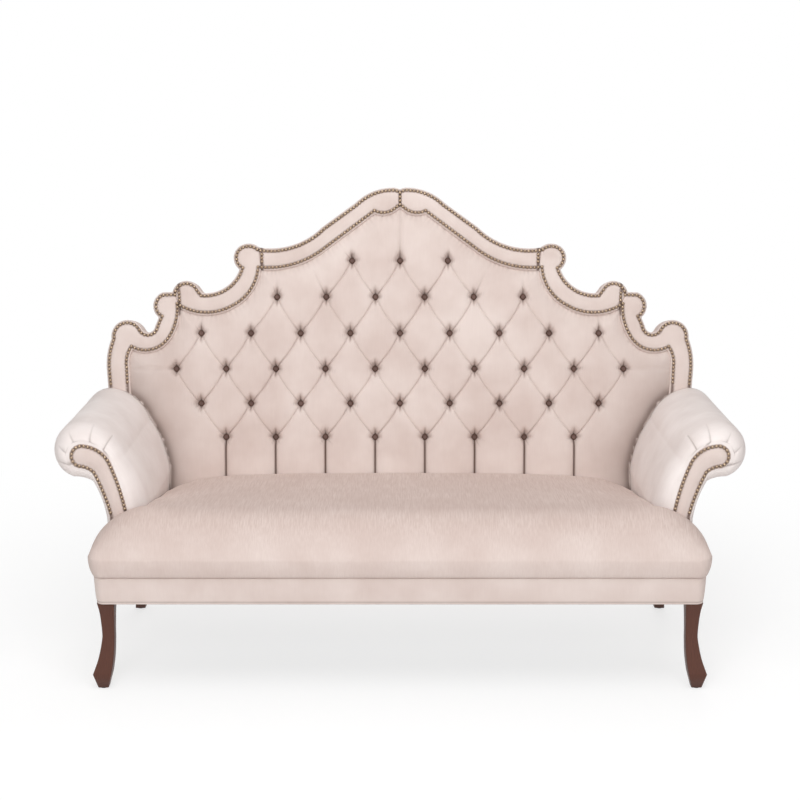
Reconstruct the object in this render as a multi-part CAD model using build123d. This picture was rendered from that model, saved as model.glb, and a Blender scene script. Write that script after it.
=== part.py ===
from build123d import *
from math import asin, cos, radians, sin, tan
import os

# A high back settee: a raked, scalloped back with a button tufted pad inside a nailed border,
# two scroll arms with nailed facings, a sprung T shaped seat and four swept wooden legs.
# Millimetres. X is the width, Y runs from the front (-) to the back (+), Z is up.
# The origin is on the floor, under the middle of the bounding box. The width follows SIDE_HALF.

# ---- heights ----
GLIDE_H = 3.0              # glide under each leg
RAIL_BOTTOM = 255.0        # underside of the seat rails, top of the legs
RAIL_H = 78.0              # height of a seat rail
RAIL_TOP = RAIL_BOTTOM + RAIL_H
COVER_T = 2.0              # hessian over the springs
SEAT_BOTTOM = RAIL_TOP + COVER_T
SOFT_GAP = 0.3             # clearance between a soft piece and its neighbours

# ---- the seat ----
RAIL_T = 34.0              # thickness of a seat rail
RAIL_FRONT = -400.0        # front face of the front rail
SIDE_HALF = 824.0          # outer face of the side rails
SIDE_T = 44.0              # thickness of a side rail
RAIL_HALF = SIDE_HALF + 12.0    # the front rail runs past the side rails
LOBE_HALF = SIDE_HALF + 24.0    # half width of the front lobes at the seam
ARM_IN = 115.0             # how far an arm's padding reaches inward from the side rail's outer face
SEAT_HALF = SIDE_HALF - ARM_IN - 1.0   # half width of the cushion between the arms
ARM_FRONT = RAIL_FRONT + 90.0   # front face of the arm facings
SEAM_FRONT = RAIL_FRONT - 10.0  # front of the cushion at the seam
LOBE_BLOCK_W = 60.0        # block behind the front rail's end, over the leg
BULGE = 16.0               # how far the cushion swells past its seam
CROWN_FRONT = SEAT_BOTTOM + 173.0    # top of the cushion, middle, in line with the facings
CROWN_REAR = SEAT_BOTTOM + 153.0     # the same at the back
LOBE_TOP = SEAT_BOTTOM + 163.0       # top of the lobes, in front of the facings
LOBE_FALL = 0.36           # how steeply the lobe's top falls to its side, in front of the facing
ROLL_Z = SEAT_BOTTOM + 107.0         # where the front begins to roll over
# edge of the cushion beside an arm: distance from its side and height over its underside
EDGE_FRONT = ((0.0, 160.0), (10.0, 163.5), (26.0, 165.0))
EDGE_REAR = ((0.0, 95.0), (26.0, 111.0), (97.0, 136.0))
LOBE_CORNER_R = 30.0       # rounding of the lobes in plan
RAIL_CORNER_R = 20.0       # rounding of the front rail's ends
BAND_DRAFT = 6.0           # how far the band draws in towards its hem
WELT_R = 2.2               # radius of the piping in the seam
STRETCHER_W = 44.0
STRETCHER_H = 46.0
BLOCK_SIDE = 70.0          # leg of a triangular corner block
SPRING_PITCH = 176.0       # from spring to spring
SPRING_WIRE_R = 2.0
SPRING_HALF_W = 20.0       # half width of a zigzag
SPRING_STEP = 26.0         # front to back step of a zigzag
CLIP_W = 52.0
CLIP_T = 3.0
SPRING_COUNT = int((2 * (SIDE_HALF - SIDE_T) - CLIP_W) // SPRING_PITCH)

# ---- the back, in its own plane: x across, s up the plane, n out of the plane to the front ----
RAKE = 12.0                # degrees from upright
BACK_Y = 160.0             # where the plane of the border's face stands at the height BACK_Z
BACK_Z = SEAT_BOTTOM + 115.0
REAR_RAIL_FRONT = BACK_Y - 75.0      # inner face of the rear rail
BORDER_T = 22.0
BOARD_T = 18.0
RIM_T = 30.0
PANEL_T = 11.0             # padded outside back
STRIP_T = 3.0              # gimp strip round the edge of the back
NAIL_MARGIN = 9.0          # cloth outside a line of nails
PAD_GAP = 2.0              # between the border and the tufted pad
SEAM_W = 0.6               # between two border panels
STUD_W = 50.0              # inner uprights of the back frame
CROSS_S = 300.0            # middle of the cross rail of the back frame
CROSS_H = 60.0
LOWER_RAIL_H = 100.0       # rail across the foot of the back
PAD_CROWN = 18.0           # the tufts' tops, out of the border's face
PAD_VALLEY = -10.0         # the pleats between them
TUFT_PITCH = 153.6         # from button to button in a row
STUD_X = 1.75 * TUFT_PITCH # the uprights stand between two columns of buttons
# rows from the seat up: height s, number of buttons, pitch of the buttons
BUTTON_ROWS = ((142.0, 8, 153.6), (246.0, 9, 153.6), (353.0, 10, 153.6),
               (463.0, 9, 153.6), (575.0, 6, 152.0), (687.0, 3, 148.0))
BUTTON_R = 12.0
BUTTON_RISE = 6.0
PIT_R = 14.0
PIT_FLOOR = -13.0
TWINE_R = 1.5
TWINE_HOLE_R = 2.5
WASHER_R = 10.0
WASHER_T = 1.5
KNOT_R = 4.0
KNOT_L = 4.0

# ---- nails ----
NAIL_R = 5.3
NAIL_RISE = 3.4
NAIL_PITCH = 11.3
NAIL_GAP = 0.1             # least room between two nails
CORNER_COS = 0.8           # two edges that turn further than this cosine meet in a sharp corner

# ---- arms ----
FACING_T = 14.0
FACING_MARGIN = 8.0        # cloth outside the nails of a facing
PLANK_T = 30.0             # scroll shaped wooden planks inside the arm
PLANK_INSET = 4.0          # planks inside the line of the nails
PANEL_SKIN = 4.0           # outside arm panel
ARM_RISE = 402.0           # crest of the arm rolls over the hessian
ROLL_RAIL = 36.0           # square rail under the roll
WAIST_RAIL = (26.0, 46.0)  # flat rail at the arm's waist
# how the arm's padding swells behind its facing: (share of the full size, distance behind)
BULLNOSE = ((0.30, 1.0), (0.62, 8.0), (0.84, 22.0), (0.96, 42.0), (1.0, 66.0))

# ---- legs ----
LEG_BOLT_R = 4.0
BOLT_CLEARANCE = 0.4
LEG_BOLT_UP = 60.0         # length of the bolt in the rail
LEG_BOLT_DOWN = 45.0       # length of the bolt in the leg
GLIDE_R = 11.0
LEG_CORNER_R = 5.0
FRONT_LEG_AT = (RAIL_HALF - 19.0, RAIL_FRONT + 30.0)
REAR_LEG_AT = (SIDE_HALF - 24.0, BACK_Y + 16.0)
# height, outward sweep of the section's middle, side of the section
FRONT_LEG = ((RAIL_BOTTOM, 0.0, 49.0), (222.0, -2.0, 40.5), (171.0, -3.0, 35.0),
             (142.0, -2.0, 35.7), (90.0, 5.5, 43.0), (44.0, 17.5, 52.0))
FRONT_FOOT = (GLIDE_H, 17.0, 30.0)
# height, outward sweep, backward sweep, side of the section
REAR_LEG = ((RAIL_BOTTOM, 0.0, 0.0, 46.0), (190.0, 4.0, 14.0, 40.0), (120.0, 14.0, 46.0, 36.0),
            (60.0, 25.0, 82.0, 34.0), (GLIDE_H, 35.0, 114.0, 32.0))

C, S = cos(radians(RAKE)), sin(radians(RAKE))
BACK = Plane(origin=(0, BACK_Y, BACK_Z), x_dir=(1, 0, 0), z_dir=(0, -C, S))
BOARD_FRONT = -BORDER_T
BOARD_REAR = BOARD_FRONT - BOARD_T
RIM_REAR = BOARD_REAR - RIM_T
PANEL_REAR = RIM_REAR - PANEL_T
BACK_FOOT = (RAIL_BOTTOM - BACK_Z) / C + PANEL_REAR * tan(radians(RAKE))   # lowest s in use
ARM_TOP = SEAT_BOTTOM + ARM_RISE
FAR = 2500.0               # longer than anything here
DRAWN_HALF = 824.0         # SIDE_HALF of the settee that the back's outlines were drawn for


# ---- outlines ----
# An outline is a start and its legs. A leg of one point is a straight line, and a leg of two points
# is an arc through the first to the second.
def redrawn(outline, change):
    """An outline with each of its points changed."""
    legs = [tuple(change(point) for point in leg) for leg in outline[1:]]
    return (change(outline[0]), *legs)


def spread(point):
    """A point of the back, as far out as the settee's width takes it."""
    return (point[0] * SIDE_HALF / DRAWN_HALF, point[1])


def beside_rail(point):
    """A point of the left arm, drawn from the side rail's outer face and the top of the hessian."""
    return (point[0] - SIDE_HALF, point[1] + SEAT_BOTTOM)


# The back's left half, from the foot to the middle of the crest.
OUTER_NAILS = redrawn(
    ((-818, BACK_FOOT), ((-868, 80), (-897, 354)), ((-894, 404), (-882, 445)),
     ((-848, 494), (-806, 474)), ((-778, 456), (-748, 482)), ((-734, 515),),
     ((-753, 551), (-731, 580)), ((-695, 581),), ((-664, 615), (-628, 596)),
     ((-614, 578),), ((-545, 591), (-485, 664)), ((-503, 706), (-472, 730)),
     ((-453, 728), (-439, 719)), ((-345, 722), (-235, 783)), ((-132, 858),),
     ((-80, 892), (-26, 903)), ((-12, 902), (0, 896))), spread)
INNER_NAILS = redrawn(
    ((-766, BACK_FOOT), ((-825, 120), (-844, 360)), ((-841, 398), (-829, 422)),
     ((-776, 411), (-720, 442)), ((-695, 490), (-688, 554)), ((-605, 527), (-516, 549)),
     ((-463, 595), (-438, 667)), ((-330, 676), (-233, 726)), ((-79, 841),),
     ((-45, 835), (-18, 846)), ((0, 860),)), spread)
UPPER_DIVIDER = redrawn(((-439, 719), ((-431, 700), (-435, 670))), spread)
LOWER_DIVIDER = redrawn(((-695, 581), ((-690, 568), (-688, 554))), spread)
UPPER_SEAM = (spread((-428, 760)), spread((-425, 640)))
LOWER_SEAM = (spread((-684, 620)), spread((-678, 520)))
RIM_INSIDE = redrawn(
    ((-770, BACK_FOOT), ((-770, 390),), ((-660, 470),), ((-640, 500),), ((-450, 610),),
     ((-400, 640),), ((-240, 680),), ((-60, 800),), ((0, 800),)), spread)
# The left arm's facing and its full padded section, seen from the front, with matching legs.
FACING_NAILS = redrawn(
    ((60, 0), ((58, 155),), ((40, 233), (16, 300)), ((-12, 333), (-49, 347)),
     ((-87, 317), (-69, 291)), ((-48, 287), (-27, 274)), ((-2, 215), (18, 146)), ((18, 0),)),
    beside_rail)
ARM_SECTION = redrawn(
    ((ARM_IN - 7, 0), ((ARM_IN, 155),), ((ARM_IN - 21, 237), (53, 312)), ((6, 375), (-59, ARM_RISE)),
     ((-146, 320), (-91, 248)), ((-62, 245), (-36, 235)), ((-16, 193), (-1, 130)), ((0, 0),)),
    beside_rail)
ROLL_RAIL_AT = beside_rail((-42, 315))
WAIST_RAIL_AT = beside_rail((33, 185))


# ---- helpers ----
def edges_of(outline):
    """The lines and three-point arcs of an outline."""
    here, result = outline[0], []
    for leg in outline[1:]:
        if len(leg) == 1:
            result.append(Line(here, leg[0]))
        else:
            result.append(ThreePointArc(here, leg[0], leg[1]))
        here = leg[-1]
    return result


def mirrored_face(outline):
    """The face between a left half outline, its mirror image and the line at its foot."""
    left = edges_of(outline)
    right = [edge.mirror(Plane.YZ) for edge in left]
    start = outline[0]
    foot = Line(start, (-start[0], start[1]))
    return make_face(left + right + [foot])


def closed_face(outline):
    """The face inside an outline that is closed by a straight line."""
    end = outline[-1][-1]
    return make_face(edges_of(outline) + [Line(end, outline[0])])


def blend(first, second, share):
    """The outline that lies between two matching outlines."""
    def mix(a, b):
        return (a[0] + (b[0] - a[0]) * share, a[1] + (b[1] - a[1]) * share)
    legs = [tuple(mix(p, q) for p, q in zip(a, b)) for a, b in zip(first[1:], second[1:])]
    return (mix(first[0], second[0]), *legs)


def block(x, y, z):
    """A box between the low and high values of x, y and z."""
    size = (x[1] - x[0], y[1] - y[0], z[1] - z[0])
    middle = ((x[0] + x[1]) / 2, (y[0] + y[1]) / 2, (z[0] + z[1]) / 2)
    return Pos(*middle) * Box(*size)


def in_front_of(n):
    """All space on the front side of the plane that lies n in front of the border's face."""
    return BACK * block((-FAR, FAR), (-FAR, FAR), (n, n + FAR))


def above(z):
    """All space above a height."""
    return block((-FAR, FAR), (-FAR, FAR), (z, z + FAR))


def front_prism(face, y0, y1):
    """Extrudes a face drawn in x and z from the depth y0 back to y1."""
    upright = Plane(origin=(0, y1, 0), x_dir=(1, 0, 0), z_dir=(0, -1, 0))
    return extrude(upright * face, amount=y1 - y0)


def side_prism(face, x0, x1):
    """Extrudes a face drawn in y and z from x0 to x1."""
    upright = Plane(origin=(x0, 0, 0), x_dir=(0, 1, 0), z_dir=(1, 0, 0))
    return extrude(upright * face, amount=x1 - x0)


def back_prism(face, n0, n1):
    """Extrudes a face drawn in x and s from n0 to n1 in the back's own frame."""
    return extrude(Pos(0, 0, n0) * face, amount=n1 - n0)


def on_both_sides(name, left):
    """Writes a left piece and its mirror image."""
    write(name + "_left", left)
    write(name + "_right", left.mirror(Plane.YZ))


def group(pieces):
    """Separate solids that share one node."""
    return Compound(children=[solid for piece in pieces for solid in piece.solids()])


def write(name, shape):
    """Writes one sub-part, as its solids."""
    solids = shape.solids()
    export_step(solids[0] if len(solids) == 1 else Compound(children=solids), f"parts/{name}.step")


def dome(radius, rise):
    """A shallow cap on the XY plane, such as a nail's head or a button."""
    ball = (radius * radius + rise * rise) / (2 * rise)
    room = Pos(0, 0, rise) * Box(4 * radius, 4 * radius, 2 * rise)
    return Pos(0, 0, rise - ball) * Sphere(ball) & room


def smooth_runs(outline):
    """The edges of an outline, in runs that are parted at its sharp corners."""
    runs = []
    for edge in edges_of(outline):
        if runs and (runs[-1][-1] % 1).dot(edge % 0) > CORNER_COS:
            runs[-1].append(edge)
        else:
            runs.append([edge])
    return runs


def nails_along(outline, keep):
    """Nails at an even pitch along an outline, with one in each sharp corner, where keep says so."""
    spots = []
    for run in smooth_runs(outline):
        wire = Wire(run)
        count = round(wire.length / NAIL_PITCH)
        spots += [wire.position_at(i / count) for i in range(count + 1)]
    return [(spot.X, spot.Y) for spot in spots if keep(spot)]


def spaced(spots, others=()):
    """The places, without any whose nail would run into one before it."""
    kept, apart = [], 2 * NAIL_R + NAIL_GAP
    for x, y in spots:
        if all((a - x) ** 2 + (b - y) ** 2 >= apart ** 2 for a, b in kept + list(others)):
            kept.append((x, y))
    return kept


def both(spots):
    """Places on the left together with their mirror images."""
    return spaced(spots + [(-x, y) for x, y in spots])


def row_places(row):
    """The x of each button of a row."""
    _, count, pitch = row
    return [(j - (count - 1) / 2) * pitch for j in range(count)]


def button_places():
    """The x and s of every button."""
    return [(x, row[0]) for row in BUTTON_ROWS for x in row_places(row)]


# ---- wooden seat frame ----
def bolt_hole(at):
    """The hole for a leg's bolt."""
    length = LEG_BOLT_UP + LEG_BOLT_DOWN
    middle = RAIL_BOTTOM + (LEG_BOLT_UP - LEG_BOLT_DOWN) / 2
    return Pos(at[0], at[1], middle) * Cylinder(LEG_BOLT_R + BOLT_CLEARANCE, length)


def front_plan(half, front, rear, corner_r):
    """A plan of the seat's front, from side to side, with its two front corners rounded."""
    plan = Pos(0, rear) * Rectangle(2 * half, rear - front, align=(Align.CENTER, Align.MAX))
    return fillet(plan.vertices().sort_by(Axis.Y)[:2], corner_r)


def front_rail():
    plan = front_plan(RAIL_HALF, RAIL_FRONT, RAIL_FRONT + RAIL_T, RAIL_CORNER_R)
    rail = extrude(Pos(0, 0, RAIL_BOTTOM) * plan, amount=RAIL_H)
    x, y = FRONT_LEG_AT
    return rail - bolt_hole((x, y)) - bolt_hole((-x, y))


def front_lobe_block():
    """The block that carries the left lobe and the front leg."""
    y0 = RAIL_FRONT + RAIL_T
    body = block((-RAIL_HALF, LOBE_BLOCK_W - RAIL_HALF), (y0, ARM_FRONT), (RAIL_BOTTOM, RAIL_TOP))
    x, y = FRONT_LEG_AT
    return body - bolt_hole((-x, y))


def rear_rail():
    """The rear rail, whose rear face follows the rake of the back board."""
    x = SIDE_HALF - SIDE_T
    body = block((-x, x), (REAR_RAIL_FRONT, BACK_Y + BOARD_T), (RAIL_BOTTOM, RAIL_TOP))
    return body & in_front_of(BOARD_FRONT)


def side_rail():
    across, along = (-SIDE_HALF, SIDE_T - SIDE_HALF), (ARM_FRONT, BACK_Y + BOARD_T)
    return block(across, along, (RAIL_BOTTOM, RAIL_TOP)) & in_front_of(BOARD_FRONT)


def stretcher():
    """The rail from front to back under the middle of the seat."""
    half = STRETCHER_W / 2
    z0 = RAIL_BOTTOM + (RAIL_H - STRETCHER_H) / 4
    return block((-half, half), (RAIL_FRONT + RAIL_T, REAR_RAIL_FRONT), (z0, z0 + STRETCHER_H))


def rear_corner_block():
    """A triangular block in the left rear corner of the seat frame."""
    x, y = SIDE_T - SIDE_HALF, REAR_RAIL_FRONT
    face = make_face(Polyline((x, y), (x + BLOCK_SIDE, y), (x, y - BLOCK_SIDE), close=True))
    return extrude(Pos(0, 0, RAIL_BOTTOM) * face, amount=RAIL_H - SPRING_STEP)


def front_corner_block():
    """A triangular block in the left front corner of the seat frame."""
    x, y = LOBE_BLOCK_W - RAIL_HALF, RAIL_FRONT + RAIL_T
    face = make_face(Polyline((x, y), (x + BLOCK_SIDE, y), (x, y + BLOCK_SIDE / 2), close=True))
    return extrude(Pos(0, 0, RAIL_BOTTOM) * face, amount=RAIL_H - SPRING_STEP)


# ---- springs ----
def spring_places():
    return [(i - (SPRING_COUNT - 1) / 2) * SPRING_PITCH for i in range(SPRING_COUNT)]


def spring():
    """One flat zigzag spring between the clips of the front and the rear rail."""
    y0 = RAIL_FRONT + RAIL_T + SPRING_STEP / 2
    y1 = REAR_RAIL_FRONT - SPRING_STEP / 2
    steps = round((y1 - y0) / SPRING_STEP)
    step = (y1 - y0) / steps
    points = []
    for i in range(steps + 1):
        side = SPRING_HALF_W if i % 2 == 0 else -SPRING_HALF_W
        points += [(-side, y0 + i * step), (side, y0 + i * step)]
    path = FilletPolyline(*points, radius=0.45 * step)
    ring = Plane(origin=path @ 0, z_dir=path % 0) * Circle(SPRING_WIRE_R)
    return Pos(0, 0, RAIL_TOP - SPRING_WIRE_R) * sweep(ring, path=path)


def spring_clip(y_wall, inward):
    """A plate screwed to a rail's inner face, under the end bar of a spring."""
    z1 = RAIL_TOP - 2 * SPRING_WIRE_R
    reach = SPRING_STEP / 2 + 2 * SPRING_WIRE_R
    y = sorted((y_wall, y_wall + inward * reach))
    shelf = block((-CLIP_W / 2, CLIP_W / 2), y, (z1 - CLIP_T, z1))
    y = sorted((y_wall, y_wall + inward * CLIP_T))
    foot = block((-CLIP_W / 2, CLIP_W / 2), y, (z1 - RAIL_H / 3, z1))
    return shelf + foot


def spring_clips():
    front = spring_clip(RAIL_FRONT + RAIL_T, 1)
    rear = spring_clip(REAR_RAIL_FRONT, -1)
    return group([Pos(x, 0, 0) * clip for x in spring_places() for clip in (front, rear)])


# ---- seat upholstery ----
def raked_y(z, n):
    """The depth of the plane n in front of the border's face, at a height."""
    return BACK_Y + (z - BACK_Z) * tan(radians(RAKE)) - n / C


def spring_cover():
    """The hessian that lies on the rails, over the springs."""
    rear = raked_y(RAIL_TOP, PAD_CROWN + SOFT_GAP)
    inner = SIDE_HALF - SIDE_T / 2
    body = block((-inner, inner), (ARM_FRONT, rear), (RAIL_TOP, SEAT_BOTTOM))
    front = front_plan(RAIL_HALF, RAIL_FRONT, ARM_FRONT, RAIL_CORNER_R)
    return body + extrude(Pos(0, 0, RAIL_TOP) * front, amount=COVER_T)


def lobe_edge():
    """The left edge of the lobes, seen from the front: it swells past the seam and rolls over."""
    side, z0 = -LOBE_HALF, SEAT_BOTTOM + SOFT_GAP
    shoulder = (side + 84, LOBE_TOP)
    return [ThreePointArc((side, z0), (side - BULGE + 3, z0 + 55), (side + 4, ROLL_Z)),
            ThreePointArc((side + 4, ROLL_Z), (side + 26, LOBE_TOP - 26), shoulder)], shoulder


def seat_lobes():
    """The front of the cushion: it swells past its seam and rolls over to the crown."""
    z0 = SEAT_BOTTOM + SOFT_GAP
    front, rear = SEAM_FRONT, ARM_FRONT - SOFT_GAP
    roll, top = (front + 7, ROLL_Z), (rear, CROWN_FRONT + 2)
    side_view = make_face([
        Line((rear, z0), (front, z0)),
        ThreePointArc((front, z0), (front - BULGE - 2, z0 + 55), roll),
        ThreePointArc(roll, (front + 32, CROWN_FRONT - 24), top),
        Line(top, (rear, z0))])
    left, shoulder = lobe_edge()
    crown = ThreePointArc(shoulder, (0, CROWN_FRONT), (-shoulder[0], shoulder[1]))
    right = [edge.mirror(Plane.YZ) for edge in left]
    front_view = make_face(left + [crown] + right + [Line((-LOBE_HALF, z0), (LOBE_HALF, z0))])
    plan = front_plan(LOBE_HALF + BULGE, SEAM_FRONT - BULGE - 4, rear, LOBE_CORNER_R)
    tall = extrude(Pos(0, 0, z0) * plan, amount=2 * CROWN_FRONT - z0)
    return side_prism(side_view, -FAR, FAR) & front_prism(front_view, -FAR / 2, rear) & tall


def seat_section(y, edge, crown_z):
    """The cushion's section between the arms, at a depth, as a face across the seat."""
    z0 = SEAT_BOTTOM + SOFT_GAP
    near, bend, far = [(across - SEAT_HALF, SEAT_BOTTOM + up) for across, up in edge]
    left = [Line((-SEAT_HALF, z0), near), ThreePointArc(near, bend, far)]
    crown = ThreePointArc(far, (0, crown_z), (-far[0], far[1]))
    right = [edge.mirror(Plane.YZ) for edge in left]
    face = make_face(left + [crown] + right + [Line((-SEAT_HALF, z0), (SEAT_HALF, z0))])
    return Plane(origin=(0, y, 0), x_dir=(1, 0, 0), z_dir=(0, -1, 0)) * face


def seat_cushion():
    """The crowned cushion: T shaped in plan, and lower at the back, most of all in its corners."""
    front = seat_section(ARM_FRONT - SOFT_GAP, EDGE_FRONT, CROWN_FRONT)
    rear = seat_section(BACK_Y + BORDER_T, EDGE_REAR, CROWN_REAR)
    middle = loft([front, rear], ruled=True) & in_front_of(PAD_CROWN + SOFT_GAP)
    return middle + seat_lobes() - seam_tube(WELT_R + SOFT_GAP)


def seam_path():
    """The seam round the front of the seat, from the left facing to the right one."""
    y0, y1, x = ARM_FRONT - SOFT_GAP, SEAM_FRONT, LOBE_HALF
    path = FilletPolyline((-x, y0), (-x, y1), (x, y1), (x, y0), radius=LOBE_CORNER_R)
    return Plane.XY.offset(SEAT_BOTTOM + WELT_R / 2) * path


def seam_tube(radius):
    path = seam_path()
    ring = Plane(origin=path @ 0, z_dir=path % 0) * Circle(radius)
    return sweep(ring, path=path)


def seat_band():
    """The band under the seam, which hides the rails and draws in to its hem."""
    top = SEAT_BOTTOM + WELT_R / 2 - WELT_R - SOFT_GAP
    hem, draft = RAIL_BOTTOM, BAND_DRAFT
    rear = ARM_FRONT - SOFT_GAP
    profile = Polyline((rear, hem), (SEAM_FRONT + draft, hem), (SEAM_FRONT, top), (rear, top), close=True)
    side_view = make_face(profile)
    x = LOBE_HALF
    front_view = make_face(Polyline((draft - x, hem), (x - draft, hem), (x, top), (-x, top), close=True))
    plan = front_plan(x, SEAM_FRONT, rear, LOBE_CORNER_R)
    body = side_prism(side_view, -FAR, FAR) & front_prism(front_view, -FAR / 2, rear)
    body = body & extrude(Pos(0, 0, hem) * plan, amount=top - hem)
    return body - extrude(front_plan(RAIL_HALF, RAIL_FRONT, ARM_FRONT, RAIL_CORNER_R), amount=FAR)


def dust_cover():
    """The black cloth under the frame, cut out round the legs."""
    x, y0 = RAIL_HALF - LOBE_BLOCK_W, RAIL_FRONT + RAIL_T / 2
    cloth = block((-x, x), (y0, REAR_RAIL_FRONT + RAIL_T), (RAIL_BOTTOM - COVER_T, RAIL_BOTTOM))
    return cloth & in_front_of(BOARD_FRONT)


# ---- back ----
def back_outline(grow):
    """The scalloped outline, grown outward from the line of the nails."""
    return offset(mirrored_face(OUTER_NAILS), amount=grow, kind=Kind.ARC)


def place(shape):
    """Sets a piece made in the back's own frame into its place, cut level with the rails."""
    return BACK * shape & above(RAIL_BOTTOM)


def twine_holes(n0, n1):
    """Cylinders for the twine of each button."""
    drill = Cylinder(TWINE_HOLE_R, n1 - n0, align=(Align.CENTER, Align.CENTER, Align.MIN))
    return [Pos(x, s, n0) * drill for x, s in button_places()]


def back_board():
    board = back_prism(back_outline(NAIL_MARGIN - STRIP_T), BOARD_REAR, BOARD_FRONT)
    x, y = REAR_LEG_AT
    board = place(board - twine_holes(BOARD_REAR, BOARD_FRONT))
    return board - bolt_hole((x, y)) - bolt_hole((-x, y))


def back_rim():
    """The left half of the sawn frame that stiffens the board round its edge."""
    ring = back_outline(NAIL_MARGIN - STRIP_T) - mirrored_face(RIM_INSIDE)
    half = ring & Pos(-FAR / 2, 0) * Rectangle(FAR, 2 * FAR)
    x, y = REAR_LEG_AT
    return place(back_prism(half, RIM_REAR, BOARD_REAR)) - bolt_hole((-x, y))


def back_stud():
    """The left upright inside the rim, from the foot of the back to the rim's top."""
    bar = Pos(-STUD_X, 0) * Rectangle(STUD_W, 2 * FAR) & mirrored_face(RIM_INSIDE)
    return place(back_prism(bar, RIM_REAR, BOARD_REAR))


def rail_across(s, height):
    """A rail across the back with its middle at s, in three lengths between rim and uprights."""
    bar = Pos(0, s) * Rectangle(2 * FAR, height) & mirrored_face(RIM_INSIDE)
    for x in (-STUD_X, STUD_X):
        bar = bar - Pos(x, 0) * Rectangle(STUD_W, 2 * FAR)
    return group([place(back_prism(face, RIM_REAR, BOARD_REAR)) for face in bar.faces()])


def outside_back():
    panel = back_prism(back_outline(NAIL_MARGIN - STRIP_T), PANEL_REAR, RIM_REAR)
    return place(panel)


def edge_strip():
    ring = back_outline(NAIL_MARGIN) - back_outline(NAIL_MARGIN - STRIP_T)
    return place(back_prism(ring, PANEL_REAR, BOARD_FRONT))


def seam_slot(ends):
    """The gap between two border panels, as a thin strip from end to end."""
    (x0, s0), (x1, s1) = ends
    w = SEAM_W / 2
    return make_face(Polyline((x0 - w, s0), (x0 + w, s0), (x1 + w, s1), (x1 - w, s1), close=True))


def border_panels():
    """The six padded panels of the border, from the left foot over the top to the right one."""
    inside = offset(mirrored_face(INNER_NAILS), amount=-NAIL_MARGIN, kind=Kind.ARC)
    ring = back_outline(NAIL_MARGIN) - inside
    for ends in (UPPER_SEAM, LOWER_SEAM):
        slot = seam_slot(ends)
        ring = ring - slot - slot.mirror(Plane.YZ)
    ring = ring - Rectangle(SEAM_W, 2 * FAR)
    ring = ring & Pos(0, FAR + BACK_FOOT) * Rectangle(2 * FAR, 2 * FAR)
    frame = block((-SIDE_HALF, SIDE_HALF), (-FAR, FAR), (0, RAIL_TOP))
    panels = [place(back_prism(face, BOARD_FRONT, 0)) - frame for face in ring.faces()]
    return sorted(panels, key=lambda panel: panel.center().X)


# ---- the tufted pad, in the back's own frame ----
def pleat_section(creases, s):
    """The pad's section along a row: an arc between neighbouring creases and a half arc outside."""
    half, rise = TUFT_PITCH / 2, PAD_CROWN - PAD_VALLEY
    radius = (half * half + rise * rise) / (2 * rise)
    turn = asin(half / radius) / 2
    mid_x, mid_n = radius * sin(turn), PAD_CROWN - radius * (1 - cos(turn))

    def climb(x):
        """From a crease up to a crown on its right."""
        return ThreePointArc((x, PAD_VALLEY), (x + half - mid_x, mid_n), (x + half, PAD_CROWN))

    def fall(x):
        """From a crown down to a crease on its right."""
        return ThreePointArc((x - half, PAD_CROWN), (x - half + mid_x, mid_n), (x, PAD_VALLEY))

    first, last = creases[0], creases[-1]
    edges = [Line((-FAR, PAD_CROWN), (first - half, PAD_CROWN)), fall(first)]
    for a, b in zip(creases, creases[1:]):
        if b - a < 1.5 * TUFT_PITCH:
            edges.append(ThreePointArc((a, PAD_VALLEY), ((a + b) / 2, PAD_CROWN), (b, PAD_VALLEY)))
        else:
            edges += [climb(a), Line((a + half, PAD_CROWN), (b - half, PAD_CROWN)), fall(b)]
    rear = Polyline((last + half, PAD_CROWN), (FAR, PAD_CROWN), (FAR, BOARD_FRONT),
                    (-FAR, BOARD_FRONT), (-FAR, PAD_CROWN))
    face = make_face(edges + [climb(last)] + rear.edges())
    return Plane(origin=(0, s, 0), x_dir=(1, 0, 0), z_dir=(0, -1, 0)) * face


def ribs(creases, s, shift, rise):
    """A slab whose creases run from a row up and sideways by a shift."""
    return Solid.extrude(pleat_section(creases, s).face(), Vector(shift, rise, 0))


def lattice_row(row):
    """The x of a row's creases, at the even pitch of the tufts."""
    return [(j - (row[1] - 1) / 2) * TUFT_PITCH for j in range(row[1])]


def tuft_band(lower, upper):
    """The pad between two rows: diagonal pleats cross it both ways, and any left over runs upright."""
    half = TUFT_PITCH / 2
    s, rise = lower[0], upper[0] - lower[0]
    here, there = lattice_row(lower), [round(x, 3) for x in lattice_row(upper)]
    right = [x for x in here if round(x + half, 3) in there]
    left = [x for x in here if round(x - half, 3) in there]
    upright = [x for x in here if x not in right and x not in left]
    band = ribs(right, s, half, rise) & ribs(left, s, -half, rise)
    return band & ribs(upright, s, 0, rise) if upright else band


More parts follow.
